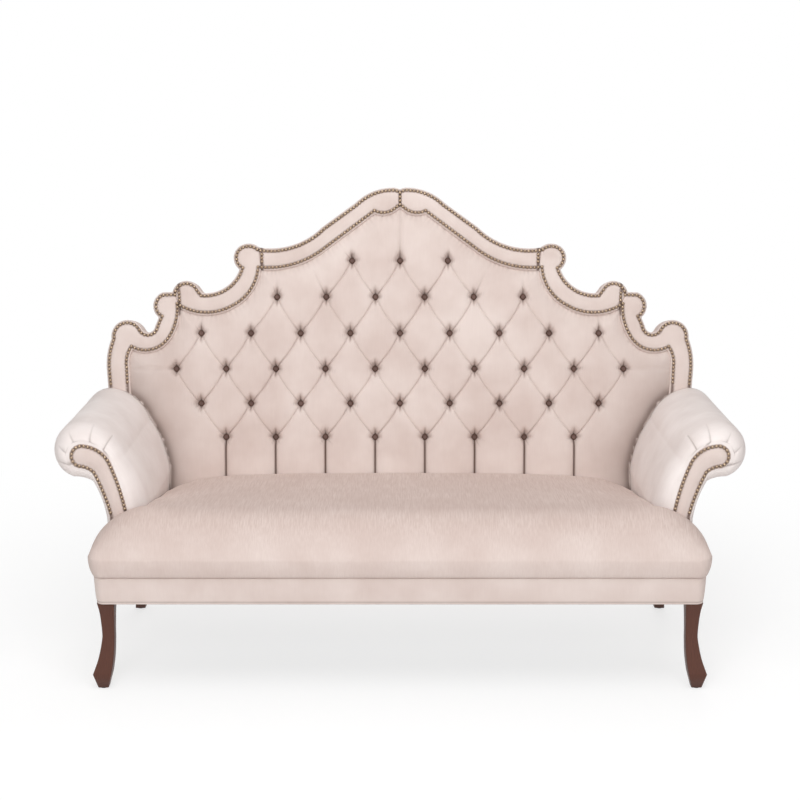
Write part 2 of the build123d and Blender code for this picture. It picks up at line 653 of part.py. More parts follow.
def tufted_pad():
    """The tufted pad: pillows between the buttons, flutes down to the seat and a leaning edge."""
    low, high = BUTTON_ROWS[0], BUTTON_ROWS[-1]
    slab = ribs(lattice_row(low), BACK_FOOT, 0, low[0] - BACK_FOOT)
    for lower, upper in zip(BUTTON_ROWS, BUTTON_ROWS[1:]):
        slab = slab + tuft_band(lower, upper)
    slab = slab + ribs(lattice_row(high), high[0], 0, FAR / 4)
    inside = offset(mirrored_face(INNER_NAILS), amount=-NAIL_MARGIN - PAD_GAP, kind=Kind.ARC)
    slab = slab & back_prism(inside, BOARD_FRONT, PAD_CROWN + 1)
    pit = Cylinder(PIT_R, FAR / 10, align=(Align.CENTER, Align.CENTER, Align.MIN))
    slab = slab - [Pos(x, s, PIT_FLOOR) * pit for x, s in button_places()]
    slab = slab - twine_holes(BOARD_FRONT, PIT_FLOOR)
    slab = BACK * slab & above(RAIL_TOP + SOFT_GAP)
    arm = offset(closed_face(ARM_SECTION), amount=SOFT_GAP)
    press = front_prism(arm, -FAR / 2, FAR / 2) & in_front_of(0)
    return slab - press - press.mirror(Plane.YZ)


def back_buttons():
    button = dome(BUTTON_R, BUTTON_RISE)
    return BACK * group([Pos(x, s, PIT_FLOOR) * button for x, s in button_places()])


def button_twine():
    """The twine behind each button, through the board to its knot."""
    knot_n = BOARD_REAR - WASHER_T
    low, high = (Align.CENTER, Align.CENTER, Align.MIN), (Align.CENTER, Align.CENTER, Align.MAX)
    twine = Cylinder(TWINE_R, PIT_FLOOR - knot_n, align=low) + Cylinder(KNOT_R, KNOT_L, align=high)
    return BACK * group([Pos(x, s, knot_n) * twine for x, s in button_places()])


def twine_washers():
    washer = Cylinder(WASHER_R, WASHER_T, align=(Align.CENTER, Align.CENTER, Align.MAX))
    washer = Pos(0, 0, BOARD_REAR) * (washer - Cylinder(TWINE_HOLE_R, 4 * WASHER_T))
    return BACK * group([Pos(x, s, 0) * washer for x, s in button_places()])


def border_spots(outline):
    """The nails' places along a line of the border, on both halves, as far down as the arms."""
    lowest = (ARM_TOP - BACK_Z) / C + NAIL_R + 2
    return both(nails_along(outline, lambda spot: spot.Y > lowest))


def border_nails(spots):
    """Nail heads on the face of the border."""
    head = dome(NAIL_R, NAIL_RISE)
    return BACK * group([Pos(x, s, 0) * head for x, s in spots])


def divider_spots():
    """The nails' places down each seam of the border, between the two long lines."""
    spots = []
    for outline in (UPPER_DIVIDER, LOWER_DIVIDER):
        spots += both(nails_along(outline, lambda spot: True)[1:-1])
    top, foot = OUTER_NAILS[-1][-1][1], INNER_NAILS[-1][-1][1]
    count = round((top - foot) / NAIL_PITCH)
    spots += [(0, foot + (top - foot) * i / count) for i in range(1, count)]
    return spaced(spots, border_spots(OUTER_NAILS) + border_spots(INNER_NAILS))


# ---- arms, left ----
def facing_face(grow):
    """The facing's outline, grown from its line of nails."""
    return offset(closed_face(FACING_NAILS), amount=grow, kind=Kind.ARC)


def arm_facing():
    panel = front_prism(facing_face(FACING_MARGIN), ARM_FRONT, ARM_FRONT + FACING_T)
    return panel & above(SEAT_BOTTOM)


def arm_front_plank():
    """The scroll shaped plank behind the facing."""
    y0 = ARM_FRONT + FACING_T
    return front_prism(facing_face(-PLANK_INSET), y0, y0 + PLANK_T)


def arm_rear_plank():
    """The rear plank, raked with the back that it is fixed to."""
    slab = in_front_of(0) - in_front_of(PLANK_T)
    return front_prism(facing_face(-PLANK_INSET), 0, FAR / 4) & slab


def arm_rail(at, size):
    """A rail from the front plank to the rear one."""
    x, z = at
    w, h = size
    y0 = ARM_FRONT + FACING_T + PLANK_T
    bar = block((x - w / 2, x + w / 2), (y0, FAR / 4), (z - h / 2, z + h / 2))
    return bar & in_front_of(PLANK_T)


def arm_sections():
    """The arm's padded sections behind the facing, as pairs of a face and its depth."""
    result = []
    for share, behind in BULLNOSE:
        upright = Plane(origin=(0, ARM_FRONT + behind, 0), x_dir=(1, 0, 0), z_dir=(0, -1, 0))
        result.append(upright * closed_face(blend(FACING_NAILS, ARM_SECTION, share)))
    return result


def arm_pad():
    """The padding: a scroll along the arm, rounded over at its front round the facing."""
    nose = loft(arm_sections(), ruled=True)
    y0 = ARM_FRONT + BULLNOSE[-1][1]
    pad = nose + front_prism(closed_face(ARM_SECTION), y0, FAR / 4)
    pad = pad & in_front_of(0)
    room = front_prism(facing_face(FACING_MARGIN + SOFT_GAP), ARM_FRONT - FAR / 10, ARM_FRONT + FACING_T)
    wood = front_prism(facing_face(SOFT_GAP - PLANK_INSET), ARM_FRONT, ARM_FRONT + FACING_T + PLANK_T)
    slab = in_front_of(-1) - in_front_of(PLANK_T)
    rear = front_prism(facing_face(SOFT_GAP - PLANK_INSET), 0, FAR / 4) & slab
    pad = pad - room - wood - rear
    for at, (w, h) in ((ROLL_RAIL_AT, (ROLL_RAIL, ROLL_RAIL)), (WAIST_RAIL_AT, WAIST_RAIL)):
        x, z = at
        y = (ARM_FRONT + FACING_T, FAR / 4)
        pad = pad - block((x - w / 2, x + w / 2), y, (z - h / 2, z + h / 2))
    return pad


def outside_arm_panel():
    """The panel under the roll, on the outer side of the arm, down to the hem."""
    start, waist = ARM_SECTION[5][1], ARM_SECTION[6]
    foot = ((-SIDE_HALF, SEAT_BOTTOM), (-SIDE_HALF, RAIL_BOTTOM))

    def skin_line(shift):
        """The line under the roll and down the side rail, moved outward."""
        a, b, c, d, e = [(x - shift, z) for x, z in (start, *waist, *foot)]
        return [ThreePointArc(a, b, c), Line(c, d), Line(d, e)], a, e

    inner, top_in, foot_in = skin_line(0)
    outer, top_out, foot_out = skin_line(PANEL_SKIN)
    face = make_face(inner + outer + [Line(top_in, top_out), Line(foot_in, foot_out)])
    return front_prism(face, ARM_FRONT + BULLNOSE[-1][1], FAR / 4) & in_front_of(0)


def facing_nails():
    """The nails round the left facing, as far down as the lobe in front of it."""
    _, shoulder = lobe_edge()

    def clear_of_lobe(spot):
        fall = max(0, shoulder[0] - spot.X) * LOBE_FALL
        return spot.Y > LOBE_TOP - fall + NAIL_R + 3

    face_out = Plane(origin=(0, ARM_FRONT, 0), x_dir=(1, 0, 0), z_dir=(0, -1, 0))
    head = dome(NAIL_R, NAIL_RISE)
    spots = spaced(nails_along(FACING_NAILS, clear_of_lobe))
    return group([face_out * (Pos(x, z, 0) * head) for x, z in spots])


# ---- legs, left ----
def leg_section(x, y, z, side):
    face = RectangleRounded(side, side, LEG_CORNER_R)
    return Pos(x, y, z) * face


def front_leg():
    """A square leg that sweeps outward to a chamfered foot."""
    x, y = -FRONT_LEG_AT[0], FRONT_LEG_AT[1]
    sections = [leg_section(x - out, y, z, side) for z, out, side in FRONT_LEG]
    leg = loft(sections)
    z, out, side = FRONT_FOOT
    foot = loft([sections[-1], leg_section(x - out, y, z, side)], ruled=True)
    return leg + foot - bolt_hole((x, y))


def rear_leg():
    """A square leg that sweeps backward and a little outward."""
    x, y = -REAR_LEG_AT[0], REAR_LEG_AT[1]
    leg = loft([leg_section(x - out, y + back, z, side) for z, out, back, side in REAR_LEG])
    return leg - bolt_hole((x, y))


def foot_places():
    """The middle of the underside of each foot."""
    front = FRONT_LEG_AT[0] + FRONT_FOOT[1], FRONT_LEG_AT[1]
    rear = REAR_LEG_AT[0] + REAR_LEG[-1][1], REAR_LEG_AT[1] + REAR_LEG[-1][2]
    return [(sign * x, y) for x, y in (front, rear) for sign in (-1, 1)]


def leg_glides():
    glide = Cylinder(GLIDE_R, GLIDE_H, align=(Align.CENTER, Align.CENTER, Align.MIN))
    return group([Pos(x, y, 0) * glide for x, y in foot_places()])


def leg_bolts():
    low = (Align.CENTER, Align.CENTER, Align.MIN)
    bolt = Cylinder(LEG_BOLT_R, LEG_BOLT_DOWN + LEG_BOLT_UP, align=low)
    places = [(sign * x, y) for x, y in (FRONT_LEG_AT, REAR_LEG_AT) for sign in (-1, 1)]
    return group([Pos(x, y, RAIL_BOTTOM - LEG_BOLT_DOWN) * bolt for x, y in places])


# ---- all sub-parts ----
def main():
    os.makedirs("parts", exist_ok=True)
    write("front_seat_rail", front_rail())
    on_both_sides("front_lobe_block", front_lobe_block())
    write("rear_seat_rail", rear_rail())
    on_both_sides("side_rail", side_rail())
    write("seat_stretcher", stretcher())
    corners = [front_corner_block(), rear_corner_block()]
    write("corner_blocks", group(corners + [corner.mirror(Plane.YZ) for corner in corners]))
    one = spring()
    write("seat_springs", group([Pos(x, 0, 0) * one for x in spring_places()]))
    write("spring_clips", spring_clips())
    write("spring_cover", spring_cover())
    write("seat_cushion", seat_cushion())
    write("seat_welt", seam_tube(WELT_R))
    write("seat_band", seat_band())
    write("dust_cover", dust_cover())
    write("back_board", back_board())
    on_both_sides("back_rim", back_rim())
    on_both_sides("back_stud", back_stud())
    write("back_cross_rail", rail_across(CROSS_S, CROSS_H))
    write("lower_back_rail", rail_across(BACK_FOOT + LOWER_RAIL_H / 2, LOWER_RAIL_H))
    write("outside_back_panel", outside_back())
    write("back_edge_strip", edge_strip())
    names = ("side_left", "scroll_left", "crest_left", "crest_right", "scroll_right", "side_right")
    for name, panel in zip(names, border_panels()):
        write("border_" + name, panel)
    write("tufted_back_pad", tufted_pad())
    write("back_buttons", back_buttons())
    write("button_twine", button_twine())
    write("twine_washers", twine_washers())
    write("outer_border_nails", border_nails(border_spots(OUTER_NAILS)))
    write("inner_border_nails", border_nails(border_spots(INNER_NAILS)))
    write("divider_nails", border_nails(divider_spots()))
    on_both_sides("arm_facing", arm_facing())
    on_both_sides("arm_front_plank", arm_front_plank())
    on_both_sides("arm_rear_plank", arm_rear_plank())
    on_both_sides("arm_roll_rail", arm_rail(ROLL_RAIL_AT, (ROLL_RAIL, ROLL_RAIL)))
    on_both_sides("arm_waist_rail", arm_rail(WAIST_RAIL_AT, WAIST_RAIL))
    on_both_sides("arm_pad", arm_pad())
    on_both_sides("outside_arm_panel", outside_arm_panel())
    on_both_sides("arm_nails", facing_nails())
    on_both_sides("front_leg", front_leg())
    on_both_sides("rear_leg", rear_leg())
    write("leg_glides", leg_glides())
    write("leg_bolts", leg_bolts())


main()
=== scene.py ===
# %% [markdown]
# # A high back settee
#
# The settee has a tall, raked back with a scalloped outline, a button tufted pad inside a nailed
# border, two scroll arms, a sprung seat and four swept legs. Its wooden frame, springs and nails
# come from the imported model. This file dresses that model: every soft piece is made again as a
# surface, and every surface gets a finish. Lengths in the formulas are millimetres, as on a maker's
# drawing, and they become metres when a mesh is made.

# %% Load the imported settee
import math

import bmesh
import bpy
import numpy as np
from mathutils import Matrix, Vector
from mathutils.geometry import delaunay_2d_cdt


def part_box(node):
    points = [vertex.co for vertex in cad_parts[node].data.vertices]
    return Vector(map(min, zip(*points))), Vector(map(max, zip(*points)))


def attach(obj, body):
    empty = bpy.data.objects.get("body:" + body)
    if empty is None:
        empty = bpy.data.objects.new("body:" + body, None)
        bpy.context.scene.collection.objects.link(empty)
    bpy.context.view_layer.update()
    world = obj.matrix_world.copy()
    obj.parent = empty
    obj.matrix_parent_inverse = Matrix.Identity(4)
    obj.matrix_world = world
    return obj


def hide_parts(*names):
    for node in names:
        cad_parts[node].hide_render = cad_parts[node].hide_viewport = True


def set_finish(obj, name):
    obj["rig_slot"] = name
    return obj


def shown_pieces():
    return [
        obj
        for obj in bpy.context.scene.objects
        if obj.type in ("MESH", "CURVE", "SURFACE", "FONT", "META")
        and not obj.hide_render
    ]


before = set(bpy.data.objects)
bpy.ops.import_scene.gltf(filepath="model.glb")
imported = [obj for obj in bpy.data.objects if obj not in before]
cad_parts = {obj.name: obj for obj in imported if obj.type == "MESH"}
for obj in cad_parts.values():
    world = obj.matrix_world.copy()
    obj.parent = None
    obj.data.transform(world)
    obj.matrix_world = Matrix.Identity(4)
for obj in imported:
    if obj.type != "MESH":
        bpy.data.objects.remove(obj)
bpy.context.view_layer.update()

# %% [markdown]
# The photograph was taken from in front of the settee, a little above it. The camera is set first.
# A long lens a good way off keeps the legs parallel, as they are in the photograph. A plain pale
# floor and a white backdrop stand in for the studio, and big soft lamps give the even light.

# %% Camera
CAMERA_AT = (0.0, -4.5787, 1.7374)
CAMERA_DOWN = 12.207     # degrees below level
LENS = 71.48

camera_data = bpy.data.cameras.new("camera")
camera_data.lens = LENS
camera_data.sensor_width = 36.0
camera = bpy.data.objects.new("camera", camera_data)
camera.location = CAMERA_AT
camera.rotation_euler = (math.radians(90 - CAMERA_DOWN), 0.0, 0.0)
bpy.context.scene.collection.objects.link(camera)
bpy.context.scene.camera = camera
print("camera at", CAMERA_AT)

# %% [markdown]
# ## The drawing
#
# The outlines repeat the model's own drawing. Each is a start and its legs: a leg of one point is a
# straight line, and a leg of two points is an arc through the first to the second. The back is
# drawn in its own leaning plane, with x across, s up the plane and n out of it to the front.

# %% Sizes from the model
MM = 0.001
SIDES = (("left", 1), ("right", -1))    # each side, and the sign that turns the left half into it


def box_mm(node):
    """The lowest and the highest corner of a CAD node, in millimetres."""
    low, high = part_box(node)
    return np.array(low) / MM, np.array(high) / MM


RAIL_BOTTOM = box_mm("front_seat_rail")[0][2]
SEAT_BOTTOM = box_mm("spring_cover")[1][2]
ARM_FRONT = box_mm("arm_facing_left")[0][1]
SIDE_HALF = -box_mm("side_rail_left")[0][0]
BAND_HALF = box_mm("seat_band")[1][0]
BAND_FRONT = box_mm("seat_band")[0][1]
SEAT_SWELL_FRONT = box_mm("seat_cushion")[0][1]
SEAT_SWELL_HALF = box_mm("seat_cushion")[1][0]
BACK_Y, BACK_Z = 160.0, SEAT_BOTTOM + 115.0
RAKE = math.radians(12.0)
RISE, LEAN = math.cos(RAKE), math.sin(RAKE)
BORDER_T, BACK_T = 22.0, 81.0      # border's thickness, whole back's thickness
NAIL_MARGIN = 9.0                  # cloth beyond a line of nails
ARM_IN, ARM_RISE = 115.0, 402.0    # arm's reach inside the side rail, height over the seat frame
BACK_FOOT = (RAIL_BOTTOM - BACK_Z) / RISE - BACK_T * math.tan(RAKE)
print("seat frame top", round(SEAT_BOTTOM), "arm front", round(ARM_FRONT),
      "side rail", round(SIDE_HALF))


# %% Outlines as points
def arc(a, b, c, step):
    """Points on the circle through a, b and c, from a by way of b to c.

    The circle's middle is where the bisectors of ab and bc cross, and the angle runs evenly.
    """
    a, b, c = (np.array(p, float) for p in (a, b, c))
    sides = 2 * np.array([b - a, c - b])
    middle = np.linalg.solve(sides, np.array([b @ b - a @ a, c @ c - b @ b]))
    start, via, end = (math.atan2(*(p - middle)[::-1]) for p in (a, b, c))
    turn = (end - start) % math.tau
    if (via - start) % math.tau > turn:
        turn -= math.tau
    radius = np.linalg.norm(a - middle)
    angle = start + turn * np.linspace(0, 1, max(3, int(abs(turn) * radius / step) + 2))
    return middle + radius * np.c_[np.cos(angle), np.sin(angle)]


def line(a, b, step):
    """Evenly spaced points from a to b."""
    a, b = np.array(a, float), np.array(b, float)
    count = max(2, int(np.linalg.norm(b - a) / step) + 2)
    return a + (b - a) * np.linspace(0, 1, count)[:, None]


def legs_of(outline, step):
    """The points of each leg of an outline, as a list of arrays."""
    here, legs = outline[0], []
    for leg in outline[1:]:
        legs.append(line(here, leg[0], step) if len(leg) == 1 else arc(here, leg[0], leg[1], step))
        here = leg[-1]
    return legs


def trace(outline, step=3.0):
    """An outline as one run of points, with its corners kept."""
    legs = legs_of(outline, step)
    return np.vstack([legs[0]] + [leg[1:] for leg in legs[1:]])


def whole(left):
    """A left half and its mirror image as one closed loop, turning clockwise from the left foot."""
    right = left[::-1] * (-1, 1)
    return np.vstack([left, right[1:] if abs(left[-1][0]) < 0.01 else right])


OUTER_NAILS = ((-818, BACK_FOOT), ((-868, 80), (-897, 354)), ((-894, 404), (-882, 445)),
               ((-848, 494), (-806, 474)), ((-778, 456), (-748, 482)), ((-734, 515),),
               ((-753, 551), (-731, 580)), ((-695, 581),), ((-664, 615), (-628, 596)),
               ((-614, 578),), ((-545, 591), (-485, 664)), ((-503, 706), (-472, 730)),
               ((-453, 728), (-439, 719)), ((-345, 722), (-235, 783)), ((-132, 858),),
               ((-80, 892), (-26, 903)), ((-12, 902), (0, 896)))
INNER_NAILS = ((-766, BACK_FOOT), ((-825, 120), (-844, 360)), ((-841, 398), (-829, 422)),
               ((-776, 411), (-720, 442)), ((-695, 490), (-688, 554)), ((-605, 527), (-516, 549)),
               ((-463, 595), (-438, 667)), ((-330, 676), (-233, 726)), ((-79, 841),),
               ((-45, 835), (-18, 846)), ((0, 860),))
UPPER_SEAM = ((-428, 760), ((-425, 640),))
LOWER_SEAM = ((-684, 620), ((-678, 520),))


def beside_rail(outline):
    """An arm's outline, drawn from the side rail's outer face and the top of the seat frame."""
    def moved(point):
        return (point[0] - SIDE_HALF, point[1] + SEAT_BOTTOM)
    return (moved(outline[0]), *[tuple(moved(p) for p in leg) for leg in outline[1:]])


FACING_NAILS = beside_rail(
    ((60, 0), ((58, 155),), ((40, 233), (16, 300)), ((-12, 333), (-49, 347)),
     ((-87, 317), (-69, 291)), ((-48, 287), (-27, 274)), ((-2, 215), (18, 146)), ((18, 0),)))
ARM_SECTION = beside_rail(
    ((ARM_IN - 7, 0), ((ARM_IN, 155),), ((ARM_IN - 21, 237), (53, 312)),
     ((6, 375), (-59, ARM_RISE)), ((-146, 320), (-91, 248)), ((-62, 245), (-36, 235)),
     ((-16, 193), (-1, 130)), ((0, 0),)))
outer_left, inner_left = trace(OUTER_NAILS), trace(INNER_NAILS)
print("outer line", len(outer_left), "points, inner line", len(inner_left), "points")


# %% [markdown]
# ## Helpers for surfaces
#
# A stuffed panel is a flat shape whose height depends on how far a point lies from its edge. So the
# helpers measure distances to an outline, grow or shrink it, fill it with well shaped triangles,
# and turn arrays of points into a mesh.

# %% Distances and offsets
COARSE_STEP = 7.0


def runs_of(path):
    """How far along a path each of its points lies."""
    return np.r_[0, np.cumsum(np.linalg.norm(np.diff(path, axis=0), axis=1))]


def at_runs(path, where):
    """The places on a path at given distances along it."""
    runs = runs_of(path)
    return np.stack([np.interp(where, runs, axis) for axis in path.T], axis=1)


def even(path, step):
    """A path walked again at an even step."""
    length = runs_of(path)[-1]
    return at_runs(path, np.linspace(0, length, max(3, round(length / step) + 1)))


def nearest(points, path):
    """For each point: its distance to a path, and the run along the path of the nearest place.

    On each straight piece from a to b the nearest place is a + t (b - a), with t cut to 0..1.
    """
    best = np.full(len(points), np.inf)
    run_at = np.zeros(len(points))
    lengths = np.linalg.norm(np.diff(path, axis=0), axis=1)
    for a, b, length, run in zip(path[:-1], path[1:], lengths, runs_of(path)):
        if length < 1e-9:
            continue
        t = np.clip((points - a) @ (b - a) / length ** 2, 0, 1)
        away = np.hypot(*(points - a - t[:, None] * (b - a)).T)
        closer = away < best
        best[closer] = away[closer]
        run_at[closer] = run + t[closer] * length
    return best, run_at


def inside(points, loop):
    """Whether each point lies in a closed loop.

    If it does, a ray to its right crosses the loop an odd number of times.
    """
    odd = np.zeros(len(points), bool)
    x, y = points.T
    for (x0, y0), (x1, y1) in zip(loop, np.roll(loop, -1, axis=0)):
        if y0 != y1:
            odd ^= ((y0 > y) != (y1 > y)) & (x < x0 + (y - y0) * (x1 - x0) / (y1 - y0))
    return odd


def closed(loop):
    """A loop with its first point again at its end."""
    return np.vstack([loop, loop[:1]])


def on_left(flat):
    """Flat places brought over to the left half, where the outlines are drawn."""
    return np.c_[-np.abs(flat[:, 0]), flat[:, 1]]


def mirrored_too(spots):
    """Places on the left and their mirror images."""
    return np.vstack([spots, spots * (-1, 1)])


def coarse(loop):
    """A loop with fewer points, for measures that need no fine detail."""
    return even(closed(loop), COARSE_STEP)[:-1]


def depth_in(points, loop):
    """The distance to a loop, positive inside it and negative outside it."""
    away, _ = nearest(points, closed(loop))
    return np.where(inside(points, loop), away, -away)


SHARP = math.radians(12)           # a corner that opens more than this is rounded
FAN = 5                            # by so many points
NEAR_ENOUGH = 0.985                # share of the offset that a kept place lies away at least
LEAST_STEP = 0.25                  # between two kept places


def grown(loop, amount):
    """A loop moved outward by an amount, or inward by a negative one.

    Each corner is moved along every direction between the normals of its two sides, and places
    that come nearer to the loop than the amount are left out.
    """
    ahead = np.roll(loop, -1, axis=0)
    side = ahead - loop
    turn = np.sign(np.sum(loop[:, 0] * ahead[:, 1] - ahead[:, 0] * loop[:, 1]))
    after = np.arctan2(-turn * side[:, 0], turn * side[:, 1])
    before = np.roll(after, 1)
    swing = (after - before + math.pi) % math.tau - math.pi
    opens = swing * turn * np.sign(amount) > SHARP
    angles = before[:, None] + swing[:, None] * np.linspace(0, 1, FAN)
    angles = np.where(opens[:, None], angles, (before + swing / 2)[:, None])
    spots = loop[:, None] + amount * np.stack([np.cos(angles), np.sin(angles)], axis=2)
    keep = np.ones(angles.shape, bool)
    keep[~opens, 1:] = False
    spots = spots[keep]
    away, _ = nearest(spots, closed(loop))
    spots = spots[away > abs(amount) * NEAR_ENOUGH]
    step = np.linalg.norm(spots - np.roll(spots, 1, axis=0), axis=1)
    return spots[step > LEAST_STEP]


# %% Meshes from arrays
DOUBLED = 1e-6                     # metres between points that count as one
ROW_RISE = 0.866                   # between the rows of a grid of even triangles of side 1


def put_mesh(name, points, faces):
    """A smooth object at the origin from points in millimetres and lists of corner numbers."""
    mesh = bpy.data.meshes.new(name)
    mesh.from_pydata((np.asarray(points) * MM).tolist(), [], faces)
    mesh.update()
    piece = bpy.data.objects.new(name, mesh)
    bpy.context.scene.collection.objects.link(piece)
    mesh.polygons.foreach_set("use_smooth", np.ones(len(mesh.polygons), bool))
    return piece


def places_mm(piece):
    """The place of every point of a piece, in millimetres."""
    places = np.empty(3 * len(piece.data.vertices))
    piece.data.vertices.foreach_get("co", places)
    return places.reshape(-1, 3) / MM


def put_back(work, piece):
    """Turns the faces of a closed mesh outward and puts it back in its piece."""
    bmesh.ops.recalc_face_normals(work, faces=work.faces)
    if work.calc_volume(signed=True) < 0:
        bmesh.ops.reverse_faces(work, faces=work.faces)
    work.to_mesh(piece.data)
    work.free()
    return piece


def face_outward(piece):
    """Merges doubled points and turns every face of a closed piece to point outward."""
    work = bmesh.new()
    work.from_mesh(piece.data)
    bmesh.ops.remove_doubles(work, verts=work.verts, dist=DOUBLED)
    return put_back(work, piece)


def grid_faces(rows, columns, around=False, first=0):
    """The four-cornered faces of a grid of points, whose columns may join up around."""
    last = columns if around else columns - 1
    i, j = np.meshgrid(np.arange(rows - 1), np.arange(last), indexing="ij")
    k = (j + 1) % columns
    near, far = i * columns + first, (i + 1) * columns + first
    return np.stack([near + j, near + k, far + k, far + j], axis=2).reshape(-1, 4).tolist()


def tube(name, rings):
    """A closed piece from a stack of closed rings of points, with a flat face at each end."""
    rows, columns, _ = rings.shape
    faces = grid_faces(rows, columns, around=True)
    faces += [list(range(columns))[::-1], list(range((rows - 1) * columns, rows * columns))]
    return face_outward(put_mesh(name, rings.reshape(-1, 3), faces))


def fill(loop, rings, spacing):
    """Points and triangles that fill a loop.

    The points are the loop, the loop drawn in by each ring distance, and an even grid further in.
    They are joined by the triangulation of Delaunay, which keeps to the loop.
    """
    inner = [grown(loop, -distance) for distance in rings]
    low, high = loop.min(0), loop.max(0)
    across = np.arange(low[0], high[0], spacing)
    up = np.arange(low[1], high[1], spacing * ROW_RISE)
    grid = np.stack(np.meshgrid(across, up), axis=2)
    grid[1::2, :, 0] += spacing / 2
    grid = grid.reshape(-1, 2)
    grid = grid[depth_in(grid, coarse(loop)) > rings[-1] + 0.55 * spacing]
    points = np.vstack([loop, *inner, grid])
    count = len(loop)
    edges = [(i, (i + 1) % count) for i in range(count)]
    made = delaunay_2d_cdt([Vector(p) for p in points.tolist()], edges, [], 1, 1e-5)
    if len(made[0]) != len(points):
        print("fill: merged", len(points) - len(made[0]), "points")
    return np.array([tuple(p) for p in made[0]]), [list(face) for face in made[2]], count


def stuffed_panel(name, loop, rings, spacing, front, rear, to_world):
    """A closed panel over a loop: its front follows a formula of place and depth, its rear is flat.

    front takes the points and their distance from the loop, and gives the height of each. to_world
    takes flat points and heights, and gives places on the settee.
    """
    flat, faces, count = fill(loop, rings, spacing)
    away, _ = nearest(flat, closed(loop))
    face_points = to_world(flat, front(flat, away))
    rim = to_world(flat[:count], np.full(count, float(rear)))
    start = len(flat)
    i = np.arange(count)
    k = (i + 1) % count
    walls = np.stack([i, k, k + start, i + start], axis=1).tolist()
    back = (np.arange(count)[::-1] + start).tolist()
    return face_outward(put_mesh(name, np.vstack([face_points, rim]), faces + walls + [back]))


def on_back(flat, n):
    """Places on the settee for points in the back's leaning plane."""
    x, s = flat.T
    return np.stack([x, BACK_Y + s * LEAN - n * RISE, BACK_Z + s * RISE + n * LEAN], axis=1)


def raked(z, n=0.0):
    """The depth of the plane n in front of the border's face, at a height."""
    return BACK_Y + (z - BACK_Z) * math.tan(RAKE) - n / RISE


def on_arm_front(flat, n):
    """Places on the settee for points seen from the front, with n forward of the facings."""
    x, z = flat.T
    return np.stack([x, ARM_FRONT - n, z], axis=1)


def seen_on_back(places):
    """Where places on the settee lie in the back's plane: x and s."""
    x, y, z = places.T
    return np.c_[x, (z - BACK_Z) * RISE + (y - BACK_Y) * LEAN]


def nail_gap_shade(held):
    """Painted shade in the gaps between the nails: most on their line, and nothing 7 mm away."""
    return 0.88 * np.exp(-(held / 4.8) ** 4)


def quarter(t):
    """A quarter of a circle as a height over 0..1: steep at 0 and level from 1 on."""
    return np.sqrt(np.clip(1 - (1 - np.clip(t, 0, 1)) ** 2, 0, 1))


def bell(away, height, half):
    """A bell curve over a distance, with its height and its half width."""
    return height * np.exp(-(away / half) ** 2)


def ripple(points, size, seed):
    """A smooth, slow unevenness between -1 and 1: five waves in random directions, added up."""
    chance = np.random.default_rng(seed)
    angle = chance.uniform(0, math.tau, 5)
    length = size * chance.uniform(0.7, 1.6, 5)
    start = chance.uniform(0, math.tau, 5)
    phase = points[:, :1] * np.cos(angle) / length + points[:, 1:2] * np.sin(angle) / length
    return np.sin(phase * math.tau + start).mean(axis=1) * 1.6


def dress(piece, node_names, slot_name):
    """Lets a piece ride on the settee in place of CAD nodes, with its slot."""
    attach(piece, "root")
    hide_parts(*node_names)
    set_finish(piece, slot_name)
    return piece


def mark(piece, name, values):
    """Keeps a number for each point of a piece, which its material reads by name."""
    made = piece.data.attributes.new(name, "FLOAT", "POINT")
    made.data.foreach_set("value", np.asarray(values, np.float32))


def report(piece):
    """Says how big a finished piece is."""
    corners = len(piece.data.vertices), sum(len(p.vertices) - 2 for p in piece.data.polygons)
    print(piece.name, "points and triangles:", *corners)
    return piece


# %% [markdown]
# ## The tufted pad
#
# Buttons in staggered rows pull a thick pad down to the board, and the spare cloth folds into
# pleats from button to button. A plain height map on a square grid would show steps along the
# slanting pleats, so the mesh is laid along the pleats instead: two counters, u and v, grow by one
# from pleat to pleat, and the points crowd together where a pleat runs. Below the lowest row the
# pleats hang straight down, so a second grid with the same columns carries on there.

# %% Buttons and pleats
ROW_S = np.array([142.0, 246.0, 353.0, 463.0, 575.0, 687.0])
ROW_PITCH = np.array([153.6, 153.6, 153.6, 153.6, 152.0, 148.0])
ROW_COUNT = (8, 9, 10, 9, 6, 3)
ROWS = np.arange(len(ROW_S))
ROW_BEYOND = 112.0                 # from row to row above the highest
PLEAT_SAG = 6.0                    # how far a pleat bows below the straight line between buttons
CREASE_STEPS = np.array([0, 1.3, 3, 5.2, 8.2, 12, 17, 23, 30, 37.5, 46, 55.5, 65.5]) / 131.0


def row_height(r):
    """The height s of a row counted from the lowest, also between and beyond the rows."""
    return np.interp(r, ROWS, ROW_S) + np.maximum(r - ROWS[-1], 0) * ROW_BEYOND


def lattice_place(u, v):
    """Flat places of the lattice: the row is u - v and the column is the mean of u and v.

    Every pleat bows a little downward, most in its middle, as a sine of the way along it.
    """
    a, b = np.pi * (u - 0.5), np.pi * (v - 0.5)
    left, right = np.abs(np.sin(b)) * np.cos(a) ** 2, np.abs(np.sin(a)) * np.cos(b) ** 2
    row = u - v
    x = (u + v) / 2 * np.interp(row, ROWS, ROW_PITCH) + 0.8 * PLEAT_SAG * (right - left)
    return np.stack([x, row_height(row) - 0.6 * PLEAT_SAG * (right + left)], axis=-1)


def button_row(r):
    """The columns of a row's buttons."""
    return np.arange(ROW_COUNT[r]) - (ROW_COUNT[r] - 1) / 2


button_cells = [(c, r) for r in ROWS for c in button_row(r)]
buttons = np.array([(c * ROW_PITCH[r], ROW_S[r]) for c, r in button_cells])


